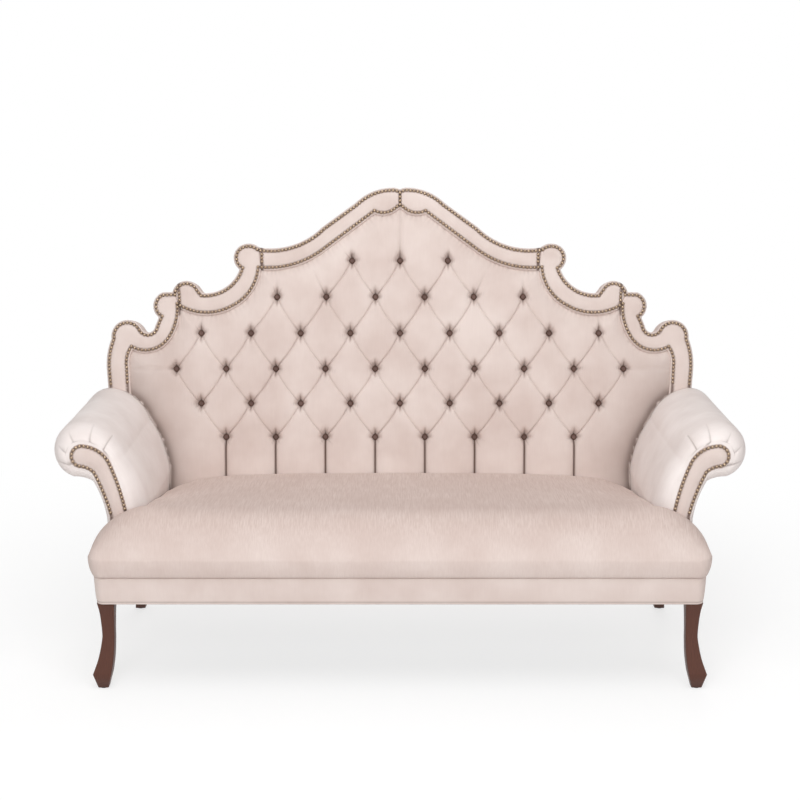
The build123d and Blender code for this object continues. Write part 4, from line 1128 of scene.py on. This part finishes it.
# the seat's pile is crushed in streaks, and the seat is painted darker as shade, most on its top
CRUSH_SHADE_FROM, CRUSH_SHADE_RUN = 6.0, 42.0  # least at the front, and fully so behind it


def round_corner(half, front, r):
    """The front left corner as seen from above: an arc of radius r and the straight front."""
    k = r * (1 - math.sqrt(0.5))
    return ((-half, front + r),), ((-half + k, front + k), (-half + r, front)), ((0, front),)


def cushion_half():
    """The left half of the cushion's widest outline, from above, from the rear to the middle."""
    half = SEAT_SWELL_HALF
    return ((0, SEAT_REAR), ((-SEAT_HALF, SEAT_REAR),), ((-SEAT_HALF, LOBE_REAR),),
            ((-half + 6, LOBE_REAR),), ((-half + 1.8, LOBE_REAR - 1.8), (-half, LOBE_REAR - 6)),
            *round_corner(half, SEAT_SWELL_FRONT, CORNER_R))


cushion_left = trace(cushion_half(), 4.0)
cushion_loop = np.vstack([cushion_left, cushion_left[::-1][1:-1] * (-1, 1)])
front_edge = cushion_left[cushion_left[:, 1] < ARM_FRONT - 7]
front_edge = np.vstack([front_edge, front_edge[::-1] * (-1, 1)])


def crown_at(flat):
    """The height that the cushion would have without its edges.

    It falls from front to back, and towards the arms, most of all at the rear corners.
    """
    x, y = np.abs(flat[:, 0]), flat[:, 1]
    rows = np.array([np.interp(x, CROWN_X, heights) for _, heights in CROWN])
    depths = [depth for depth, _ in CROWN]
    share = np.clip(np.interp(y, depths, np.arange(len(depths))), 0, len(depths) - 1.001)
    i, f = share.astype(int), share % 1
    pick = np.arange(len(x))
    return SEAT_BOTTOM + rows[i, pick] * (1 - f) + rows[i + 1, pick] * f


def held_down(away, held):
    """The share of the height that is left at a distance from a place where cloth is held."""
    share, reach = held
    return share + (1 - share) * quarter(away / reach)


def cushion_front(flat, away):
    """The cushion's height over its widest line: the crown, brought down along every edge.

    From the front it rises as 1 - (1 - d / 117)^2.7, and from the lobes' sides as a quarter circle
    to the power of 1.28.
    """
    free, _ = nearest(flat, front_edge)
    beside_arm, _ = nearest(on_left(flat), np.array([(-SEAT_HALF, 200.0), (-SEAT_HALF, ARM_FRONT)]))
    facing, _ = nearest(on_left(flat), np.array([(-SEAT_HALF, LOBE_REAR),
                                                 (-SEAT_SWELL_HALF, LOBE_REAR)]))
    rear = np.abs(SEAT_REAR - flat[:, 1])
    forward = np.clip((flat[:, 1] - SEAT_SWELL_FRONT) / FRONT_ROLL, 0, 1)
    sideways = np.clip((SEAT_SWELL_HALF - np.abs(flat[:, 0])) / SIDE_ROLL, 0, 1)
    roll = (1 - (1 - forward) ** FRONT_POWER) * quarter(free / 12)
    roll *= np.where(flat[:, 1] < ARM_FRONT, quarter(sideways) ** SIDE_POWER, 1)
    tight = held_down(beside_arm, AT_ARM) * held_down(facing, AT_FACING) * held_down(rear, AT_BACK)
    wave = 0.8 * ripple(flat, 420, 31) * np.clip(away / 30, 0, 1)
    return (crown_at(flat) - SWELL_Z) * roll * np.where(away < 0.01, 0, tight) + wave


def cushion():
    """The cushion as one closed skin: crown, drawn-in sides and a flat underside."""
    flat, faces, count = fill(cushion_loop, CUSHION_RINGS, 13.0)
    away, _ = nearest(flat, closed(cushion_loop))
    top = np.c_[flat, SWELL_Z + cushion_front(flat, away)]
    rim = flat[:count]
    free = rim[:, 1] < ARM_FRONT - 3
    ahead = np.roll(rim, -1, axis=0) - np.roll(rim, 1, axis=0)
    out = np.stack([ahead[:, 1], -ahead[:, 0]], axis=1)
    out /= np.linalg.norm(out, axis=1)[:, None]
    out *= np.sign((out * rim).sum(axis=1).mean())
    share = np.arange(1, WALL_ROWS + 1)[:, None, None] / WALL_ROWS
    flat_walls = rim - out * free[:, None] * SWELL_IN * share ** 2.4
    z = SWELL_Z - share * (SWELL_Z - SEAT_BOTTOM - 0.6)
    walls = np.concatenate([flat_walls, np.broadcast_to(z, (WALL_ROWS, count, 1))], axis=2)
    points = np.vstack([top, walls.reshape(-1, 3)])
    ring, after = np.arange(count), np.roll(np.arange(count), -1)
    faces = faces + np.stack([ring, after, after + len(top), ring + len(top)], axis=1).tolist()
    faces += grid_faces(WALL_ROWS, count, around=True, first=len(top))
    faces.append((ring[::-1] + len(points) - count).tolist())
    piece = put_mesh("seat_pad", points, faces)
    # crushed pile and painted shade: a little on the front, and full over the seat's top
    back_from_front = (points[:, 1] - SEAT_SWELL_FRONT - CRUSH_SHADE_FROM) / CRUSH_SHADE_RUN
    mark(piece, "crush", 0.3 + 0.7 * np.clip(back_from_front, 0, 1))
    return face_outward(piece)


report(dress(cushion(), ["seat_cushion"], "upholstery"))

# %% Band and piping
PIPE_OUT, PIPE_UP = 2.6, 4.4       # half sizes of the flat piping, outward and upward
BAND_CORNER_R = 30.0
BAND_DRAFT, BAND_BELLY = 5.5, 0.9  # how far the band draws in towards its hem, and its belly
HEM_UP = 6.6                       # the hem's stitched line over the band's foot
BAND_TOP = SEAT_BOTTOM - 2.5


def front_path(step, start):
    """The way round the seat's front: it starts and ends this far behind the facings' front."""
    corner = round_corner(BAND_HALF, BAND_FRONT, BAND_CORNER_R)
    left = trace(((-BAND_HALF, ARM_FRONT + start), *corner), step)
    return np.vstack([left, left[::-1][1:] * (-1, 1)])


share = np.linspace(0.06, 0.85, 9)
slope = np.c_[BAND_BELLY * np.sin(math.pi * share) - BAND_DRAFT * share,
              BAND_TOP - share * (BAND_TOP - RAIL_BOTTOM)]
head = [(-7, BAND_TOP), (-0.8, BAND_TOP), (0, BAND_TOP - 2)]
hem = np.array([(-5.3, 8), (-5.9, HEM_UP), (-5.4, 5), (-5.8, 2), (-6.6, 0.4), (-8, 0), (-9.2, 4)])
band_section = np.vstack([head, slope, hem + (0, RAIL_BOTTOM)])
band = tube("front_band", carried(front_path(6.0, NOSE + 2), band_section))
over_hem = places_mm(band)[:, 2] - RAIL_BOTTOM
# painted shade in the hem's stitched groove and along the band's underside
mark(band, "fold", 0.45 * np.exp(-((over_hem - HEM_UP) / 1.3) ** 2) + 0.3 * (over_hem < 1))
report(dress(band, ["seat_band"], "upholstery"))

turn = np.arange(12) / 12 * math.tau
ring = np.c_[PIPE_OUT * np.cos(turn) + 0.4, PIPE_UP * np.sin(turn) + SEAT_BOTTOM + PIPE_UP + 1.5]
piping = tube("seat_piping", carried(front_path(4.0, -1.0), ring))
# painted shade where the piping meets the cushion above and the band below
mark(piping, "fold", np.resize(0.45 * np.abs(np.sin(turn)) ** 6, len(piping.data.vertices)))
report(dress(piping, ["seat_welt"], "upholstery"))

# %% [markdown]
# ## Legs and the cloth underneath
#
# The legs are square in section and swept. Each is a stack of squares with rounded corners whose
# middles and sides follow smooth curves through the turner's stations.

# %% Legs
# height, outward and backward sweep of the middle, and side
FRONT_STATIONS = ((255, 0, 0, 49), (222, -2, 0, 40.5), (171, -3, 0, 35), (142, -2, 0, 35.7),
                  (90, 5.5, 0, 43), (44, 17.5, 0, 52))
FRONT_FOOT = (3, 17, 0, 30)
REAR_STATIONS = ((255, 0, 0, 46), (190, 4, 14, 40), (120, 14, 46, 36), (60, 25, 82, 34),
                 (3, 35, 114, 32))
ARRIS_R = 5.0


def smooth_through(stations, count):
    """A smooth curve through rows of numbers.

    It is made of cubic pieces, and its slope at a row is that of the line between its neighbours.
    """
    rows = np.array(stations, float)
    t = np.linspace(0, len(rows) - 1, count)
    i = np.clip(t.astype(int), 0, len(rows) - 2)
    f = (t - i)[:, None]
    slope = np.gradient(rows, axis=0)
    a, b, da, db = rows[i], rows[i + 1], slope[i], slope[i + 1]
    return ((a * (1 + 2 * f) + da * f) * (1 - f) ** 2
            + (b * (3 - 2 * f) + db * (f - 1)) * f ** 2)


def rounded_square(r_share):
    """A square of side 1 with rounded corners, as points from one corner round to it again."""
    turn = np.arange(4)[:, None] * math.pi / 2 + np.linspace(0, math.pi / 2, 6)
    middles = (0.5 - r_share) * np.array([(1, 1), (-1, 1), (-1, -1), (1, -1)])
    arcs = r_share * np.stack([np.cos(turn), np.sin(turn)], axis=2)
    return (middles[:, None] + arcs).reshape(-1, 2)


def leg_rings(stations, at):
    """Rings of a leg from stations of height, outward, backward and side, on the left."""
    rings = []
    for height, out, back, side in stations:
        square = rounded_square(ARRIS_R / side) * side
        rings.append(np.c_[square + (-at[0] - out, at[1] + back), np.full(len(square), height)])
    return np.stack(rings)


front_rows = np.vstack([smooth_through(FRONT_STATIONS, 40), FRONT_FOOT])
rear_rows = smooth_through(REAR_STATIONS, 44)
for name, rows in (("front", front_rows), ("rear", rear_rows)):
    low, high = box_mm(f"{name}_leg_left")
    _, out, back, width = rows.T
    at = ((width / 2 - out).max() - high[0], low[1] - (back - width / 2).min())
    left_leg = leg_rings(rows, at)
    for side, sign in SIDES:
        leg = tube(f"swept_leg_{name}_{side}", left_leg * (sign, 1, 1))
        report(dress(leg, [f"{name}_leg_{side}"], "dark_wood"))

# %% Cloth under the seat
cover_low, cover_high = box_mm("dust_cover")
COLUMNS, DEEP = 60, 24             # points of the cloth, across and from front to back
COVER_SAG = 3.0
x, y = np.meshgrid(np.linspace(cover_low[0], cover_high[0], COLUMNS),
                   np.linspace(cover_low[1], cover_high[1], DEEP), indexing="ij")
free = np.minimum(np.minimum(x - x.min(), x.max() - x), np.minimum(y - y.min(), y.max() - y))
z = RAIL_BOTTOM - 1.0 - COVER_SAG * (1 - np.exp(-free / 60))
cover = put_mesh("dust_cloth_sheet", np.stack([x, y, z], axis=2).reshape(-1, 3),
                 grid_faces(COLUMNS, DEEP))
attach(cover, "root")
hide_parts("dust_cover")
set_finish(cover, "dust_cloth")


# %% [markdown]
# ## Finishes
#
# Every finish is worked out by nodes from the place on the object, so it needs no picture. Effects
# that several finishes share are groups: pile, grain, weave and patina. A group gives back masks,
# colours and heights that change over the surface, and each material keeps its own shader.

# %% Helpers for nodes
def put(tree, kind, inputs=None, **settings):
    """A new node: settings are its own switches, and inputs are values or sockets to link from."""
    made = tree.nodes.new(kind)
    for key, value in settings.items():
        setattr(made, key, value)
    for key, value in (inputs or {}).items():
        if isinstance(value, bpy.types.NodeSocket):
            tree.links.new(value, made.inputs[key])
        else:
            made.inputs[key].default_value = value
    return made


def new_group(name, inputs, outputs):
    """An empty node group with named inputs and outputs, and its two end nodes."""
    tree = bpy.data.node_groups.new(name, "ShaderNodeTree")
    for label, kind, value in inputs:
        socket = tree.interface.new_socket(label, in_out="INPUT", socket_type=kind)
        if value is not None:
            socket.default_value = value
    for label, kind in outputs:
        tree.interface.new_socket(label, in_out="OUTPUT", socket_type=kind)
    return tree, tree.nodes.new("NodeGroupInput").outputs, tree.nodes.new("NodeGroupOutput").inputs


def math_node(tree, operation, a, b):
    """One sum of two values, cut to 0..1."""
    return put(tree, "ShaderNodeMath", {0: a, 1: b}, operation=operation, use_clamp=True).outputs[0]


def mix(tree, share, a, b):
    """A mix of two values."""
    return put(tree, "ShaderNodeMix", {"Factor": share, 2: a, 3: b}).outputs[0]


def mix_colour(tree, share, a, b):
    """A mix of two colours, each a socket or three numbers."""
    a, b = (c if isinstance(c, bpy.types.NodeSocket) else (*c, 1.0) for c in (a, b))
    return put(tree, "ShaderNodeMix", {"Factor": share, 6: a, 7: b}, data_type="RGBA").outputs[2]


def spread(tree, value, low, high):
    """Stretches the part of a value between low and high over 0..1."""
    made = put(tree, "ShaderNodeMapRange", {"Value": value, "From Min": low, "From Max": high})
    return made.outputs["Result"]


def between(tree, value, low, high):
    """A value of 0..1 turned into one that runs from low to high."""
    made = put(tree, "ShaderNodeMapRange", {"Value": value, "To Min": low, "To Max": high})
    return made.outputs["Result"]


def noise(tree, place, scale, detail, rough=0.5):
    """A noise texture's value at a place."""
    made = put(tree, "ShaderNodeTexNoise",
               {"Vector": place, "Scale": scale, "Detail": detail, "Roughness": rough})
    return made.outputs["Fac"]


def stretched(tree, place, scale):
    """A place with each direction scaled by its own amount."""
    return put(tree, "ShaderNodeMapping", {"Vector": place, "Scale": scale}).outputs["Vector"]


VALUE, COLOUR, VECTOR = "NodeSocketFloat", "NodeSocketColor", "NodeSocketVector"
print("node helpers ready")

# %% [markdown]
# Velvet shows three things at three sizes: slow clouds where hands have brushed the pile, short
# streaks that follow the direction of the pile, and the pile itself, about a millimetre.

# %% Pile, grain, weave and patina groups
pile, given, out = new_group(
    "pile", [("Place", VECTOR, None), ("Streak", VECTOR, (1, 1, 1)), ("Streak Share", VALUE, 0.5)],
    [("Tone", VALUE), ("Height", VALUE)])
clouds = spread(pile, noise(pile, given["Place"], 7.0, 3.0, 0.55), 0.3, 0.7)
streaks = spread(pile, noise(pile, given["Streak"], 1.0, 4.0, 0.62), 0.34, 0.68)
fibres = noise(pile, given["Place"], 900.0, 2.0, 0.6)
brushed = mix(pile, given["Streak Share"], clouds, streaks)
pile.links.new(mix(pile, 0.12, brushed, fibres), out["Tone"])
pile.links.new(mix(pile, 0.55, brushed, fibres), out["Height"])

grain, given, out = new_group(
    "grain", [("Place", VECTOR, None), ("Rings", VALUE, 1.0), ("Pores", VALUE, 1.0)],
    [("Tone", VALUE), ("Pore", VALUE)])
drift = put(grain, "ShaderNodeTexNoise", {"Vector": given["Place"], "Scale": 0.8, "Detail": 2.0})
bent = put(grain, "ShaderNodeVectorMath", {0: given["Place"], 1: drift.outputs["Color"]},
           operation="ADD").outputs["Vector"]
rings = put(grain, "ShaderNodeTexWave",
            {"Vector": bent, "Scale": given["Rings"], "Distortion": 3.0, "Detail": 3.0,
             "Detail Scale": 1.5}, bands_direction="X").outputs["Fac"]
flecks = noise(grain, given["Place"], given["Pores"], 3.0)
grain.links.new(mix(grain, 0.45, rings, flecks), out["Tone"])
grain.links.new(spread(grain, flecks, 0.52, 0.68), out["Pore"])

weave, given, out = new_group(
    "weave", [("Place", VECTOR, None), ("Threads", VALUE, 600.0)],
    [("Gap", VALUE), ("Height", VALUE), ("Tone", VALUE)])
threads = {"Vector": given["Place"], "Scale": given["Threads"], "Distortion": 0.6, "Detail": 1.0}
waves = [put(weave, "ShaderNodeTexWave", threads, bands_direction=axis) for axis in "XY"]
higher = math_node(weave, "MAXIMUM", *(wave.outputs["Fac"] for wave in waves))
weave.links.new(math_node(weave, "SUBTRACT", 1.0, higher), out["Gap"])
weave.links.new(higher, out["Height"])
weave.links.new(noise(weave, given["Place"], 60.0, 4.0, 0.7), out["Tone"])

patina, given, out = new_group(
    "patina", [("Place", VECTOR, None), ("Size", VALUE, 200.0)],
    [("Tarnish", VALUE), ("Height", VALUE)])
blots = noise(patina, given["Place"], given["Size"], 4.0, 0.65)
patina.links.new(spread(patina, blots, 0.35, 0.65), out["Tarnish"])
patina.links.new(blots, out["Height"])
print("groups:", [tree.name for tree in bpy.data.node_groups])


# %% Materials from groups
def finish(name, **sockets):
    """A material with one principled shader whose steady values are set on its own sockets."""
    material = bpy.data.materials.new(name)
    material.use_nodes = True
    tree = material.node_tree
    shader = tree.nodes["Principled BSDF"]
    for label, value in sockets.items():
        shader.inputs[label.replace("_", " ")].default_value = value
    place = put(tree, "ShaderNodeTexCoord").outputs["Object"]
    return material, tree, shader, place


def use(tree, group, inputs):
    """The outputs of a group placed in a material, with its inputs filled."""
    return put(tree, "ShaderNodeGroup", inputs, node_tree=group).outputs


def wear(tree, shader, base, rough, height, distance, strength):
    """Gives a shader its colour, its roughness, if any, and a height, by a distance in metres."""
    tree.links.new(base, shader.inputs["Base Color"])
    if rough is not None:
        tree.links.new(rough, shader.inputs["Roughness"])
    made = put(tree, "ShaderNodeBump",
               {"Height": height, "Distance": distance, "Strength": strength})
    tree.links.new(made.outputs["Normal"], shader.inputs["Normal"])


PAINTED_SHADE_COLOUR = (0.10, 0.055, 0.04)         # painted shade: the colour of the cloth in folds, gaps and hollows
CRUSHED_AND_SHADED = (0.57, 0.445, 0.40)      # pile pressed flat, and painted shade
CRUSH_SHADE_STREAKS = (340.0, 15.0, 62.0)


def velvet(name, dark, light, streak_scale, streak_share, sheen):
    """Velvet: two close tones, a pale sheen at grazing angles, and pile that runs one way.

    The mesh says where shade is painted into folds, gaps and hollows, and where the pile is
    pressed flat, with the seat painted darker as its shade.
    """
    material, tree, shader, place = finish(
        name, Sheen_Weight=sheen, Sheen_Roughness=0.4, Sheen_Tint=(1.0, 0.94, 0.9, 1),
        Specular_IOR_Level=0.18)
    told = use(tree, pile, {"Place": place, "Streak": stretched(tree, place, streak_scale),
                            "Streak Share": streak_share})
    # painted shade read from the mesh: in folds, gaps and hollows, and over the crushed seat
    painted_shade_mask, crush_shade_mask = (put(tree, "ShaderNodeAttribute", attribute_name=mark_name).outputs["Fac"]
                       for mark_name in ("fold", "crush"))
    flecks = noise(tree, stretched(tree, place, CRUSH_SHADE_STREAKS), 1.0, 2.0, 0.6)
    flecks = spread(tree, flecks, 0.34, 0.66)
    # how far the crushed pile and its painted shade darken the cloth
    pressed_and_shaded = math_node(tree, "MULTIPLY", crush_shade_mask, between(tree, flecks, 0.3, 0.9))
    base = mix_colour(tree, told["Tone"], dark, light)
    base = mix_colour(tree, painted_shade_mask, mix_colour(tree, pressed_and_shaded, base, CRUSHED_AND_SHADED), PAINTED_SHADE_COLOUR)
    wear(tree, shader, base, between(tree, told["Tone"], 0.92, 0.74), told["Height"], 0.0005, 0.5)
    return material


def wood(name, dark, light, along, rough, coat=0.0, shine=0.5):
    """Wood: rings and pores drawn out along the grain, which are darker than the rest."""
    material, tree, shader, place = finish(name, Coat_Weight=coat, Coat_Roughness=0.25,
                                           Specular_IOR_Level=shine)
    told = use(tree, grain, {"Place": stretched(tree, place, along), "Rings": 3.0, "Pores": 60.0})
    wear(tree, shader, mix_colour(tree, told["Tone"], dark, light),
         between(tree, told["Pore"], rough, rough + 0.2), told["Pore"], 0.0003, 0.25)
    return material


def woven(name, dark, light, threads, rough):
    """A plain weave: threads both ways, dark in the gaps between them."""
    material, tree, shader, place = finish(name, Roughness=rough)
    told = use(tree, weave, {"Place": place, "Threads": threads})
    base = mix_colour(tree, told["Tone"], light, [0.75 * c for c in light])
    wear(tree, shader, mix_colour(tree, told["Gap"], base, dark), None, told["Height"], 0.0004, 0.6)
    return material


def worn(name, fresh, aged, size, rough, depth, strength, **sockets):
    """A smooth surface with a patina: metal that tarnishes, or plastic that wears in places."""
    material, tree, shader, place = finish(name, **sockets)
    told = use(tree, patina, {"Place": place, "Size": size})
    wear(tree, shader, mix_colour(tree, told["Tarnish"], fresh, aged),
         between(tree, told["Tarnish"], *rough), told["Height"], depth, strength)
    return material


METAL = {"depth": 0.0003, "strength": 0.3, "Metallic": 1.0}
PLASTIC = {"rough": (0.45, 0.6), "depth": 0.0002, "strength": 0.2, "Specular_IOR_Level": 0.4}
BLUSH_DARK, BLUSH_LIGHT = (0.64, 0.52, 0.475), (0.765, 0.66, 0.615)
FINE_ACROSS = (260.0, 22.0, 22.0)   # streaks that run up and back
FINE_ALONG = (26.0, 230.0, 20.0)    # streaks that run round an arm
finishes = {
    "upholstery": velvet("velvet", BLUSH_DARK, BLUSH_LIGHT, FINE_ACROSS, 0.12, 0.15),
    "button_cloth": velvet("button_velvet", (0.12, 0.075, 0.065), (0.19, 0.12, 0.105),
                           FINE_ACROSS, 0.4, 0.12),
    "frame_timber": wood("birch", (0.50, 0.34, 0.2), (0.68, 0.5, 0.33), (3, 30, 30), 0.55),
    "plywood": wood("plywood", (0.52, 0.37, 0.22), (0.7, 0.55, 0.38), (22, 22, 3), 0.5),
    "dark_wood": wood("stained_mahogany", (0.05, 0.016, 0.010), (0.14, 0.05, 0.03), (42, 42, 5),
                      0.42, coat=0.06, shine=0.3),
    "antique_brass": worn("antique_brass", (0.44, 0.335, 0.24), (0.21, 0.15, 0.105), 260.0,
                          (0.3, 0.46), **METAL),
    "spring_steel": worn("spring_steel", (0.55, 0.55, 0.56), (0.32, 0.31, 0.3), 120.0,
                         (0.3, 0.5), **METAL),
    "hessian": woven("hessian", (0.16, 0.11, 0.06), (0.55, 0.42, 0.27), 250.0, 0.95),
    "dust_cloth": woven("dust_cloth", (0.012, 0.012, 0.013), (0.035, 0.035, 0.037), 500.0, 0.9),
    "twine": woven("waxed_twine", (0.3, 0.25, 0.17), (0.66, 0.58, 0.44), 500.0, 0.8),
    "washer_plastic": worn("washer_plastic", (0.72, 0.72, 0.7), (0.82, 0.82, 0.8), 180.0,
                           **PLASTIC),
    "glide_plastic": worn("glide_plastic", (0.03, 0.026, 0.025), (0.07, 0.065, 0.06), 220.0,
                          **PLASTIC),
}
# the arms' pile is brushed the other way, and their paler copy of the velvet paints light on them
arm_velvet = velvet("arm_velvet", (0.76, 0.675, 0.645), (0.91, 0.84, 0.815), FINE_ALONG, 0.15, 0.15)
print(len(finishes), "finishes")

# %% Finishes put on every piece
# the arms' pieces take the paler copy of the velvet, with its painted light
ACROSS_ARMS = ("arm_padding", "outer_arm")
packed_slots = {name: node.material_slots[0].material.name.split(".")[0]
                for name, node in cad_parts.items()}
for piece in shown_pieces():
    slot_name = piece.get("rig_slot") or packed_slots[piece.name]
    material = arm_velvet if piece.name.startswith(ACROSS_ARMS) else finishes[slot_name]
    if piece.material_slots:
        for slot in piece.material_slots:
            slot.material = material
    else:
        piece.data.materials.append(material)

# %% [markdown]
# ## The studio
#
# The photograph has a white floor with a faint shadow, and even light from a big source above the
# camera. The world answers the camera with plain white. So does the floor far from the settee, and
# near it the floor keeps a share of the real light, so that the shadow stays.

# %% Floor, world and lamps
FLOOR_HALF = 30.0
FLOOR_WHITE = 0.62                 # share of white in what the camera sees of the floor near by
FLOOR_LIFT = 1.12                  # strength of that white, to make up for the grey in the mix
SHADOW_REACH = (1.2, 2.6)          # metres from the middle over which the floor turns all white
FLOOR_GREY = (0.93, 0.93, 0.93, 1)

floor_mesh = bpy.data.meshes.new("floor")
corners = FLOOR_HALF * np.array([(-1, -1, 0), (1, -1, 0), (1, 1, 0), (-1, 1, 0)])
floor_mesh.from_pydata(corners.tolist(), [], [(0, 1, 2, 3)])
floor = bpy.data.objects.new("floor", floor_mesh)
bpy.context.scene.collection.objects.link(floor)


def white_rays(tree):
    """A mask that is 1 for rays from the camera and for mirrored and refracted ones."""
    ray = put(tree, "ShaderNodeLightPath").outputs
    seen = math_node(tree, "ADD", ray["Is Camera Ray"], ray["Is Glossy Ray"])
    return math_node(tree, "ADD", seen, ray["Is Transmission Ray"])


floor_paint = bpy.data.materials.new("studio_floor")
floor_paint.use_nodes = True
tree = floor_paint.node_tree
plain = tree.nodes["Principled BSDF"]
plain.inputs["Base Color"].default_value = FLOOR_GREY
plain.inputs["Roughness"].default_value = 0.7
away = put(tree, "ShaderNodeVectorMath", {0: put(tree, "ShaderNodeTexCoord").outputs["Object"]},
           operation="LENGTH").outputs["Value"]
whiter = put(tree, "ShaderNodeMapRange",
             {"Value": away, "From Min": SHADOW_REACH[0], "From Max": SHADOW_REACH[1],
              "To Min": FLOOR_WHITE, "To Max": 1.0}, interpolation_type="SMOOTHSTEP").outputs[0]
lift = put(tree, "ShaderNodeMapRange", {"Value": whiter, "From Min": FLOOR_WHITE,
                                        "To Min": FLOOR_LIFT, "To Max": 1.0}).outputs[0]
white = put(tree, "ShaderNodeEmission", {"Strength": lift}).outputs[0]
share = math_node(tree, "MULTIPLY", white_rays(tree), whiter)
both = put(tree, "ShaderNodeMixShader", {0: share, 1: plain.outputs[0], 2: white}).outputs[0]
tree.links.new(both, tree.nodes["Material Output"].inputs["Surface"])
floor_mesh.materials.append(floor_paint)

SKY = 0.36                         # light of the world on the object
world = bpy.data.worlds.new("studio")
bpy.context.scene.world = world
world.use_nodes = True
tree = world.node_tree
sky = tree.nodes["Background"]
sky.inputs["Color"].default_value = (1, 1, 1, 1)
tree.links.new(between(tree, white_rays(tree), SKY, 1.0), sky.inputs["Strength"])

AIM = Vector((0, 0, 0.6))          # the lamps all point here
# each lamp: name, place, width in metres, power in watts
LAMPS = (("key", (-1.0, -4.6, 2.5), 2.0, 74.0), ("fill", (2.4, -4.0, 1.7), 2.4, 25.0),
         ("top", (0.0, -1.8, 4.3), 2.6, 74.0), ("rear", (0.6, 4.4, 2.8), 2.4, 32.0))
for name, at, width, power in LAMPS:
    data = bpy.data.lights.new(name, "AREA")
    data.size, data.energy = width, power
    lamp = bpy.data.objects.new(name, data)
    lamp.location = at
    lamp.rotation_euler = (AIM - Vector(at)).to_track_quat("-Z", "Y").to_euler()
    bpy.context.scene.collection.objects.link(lamp)
bpy.context.scene.view_settings.view_transform = "Standard"
print(len(LAMPS), "lamps")
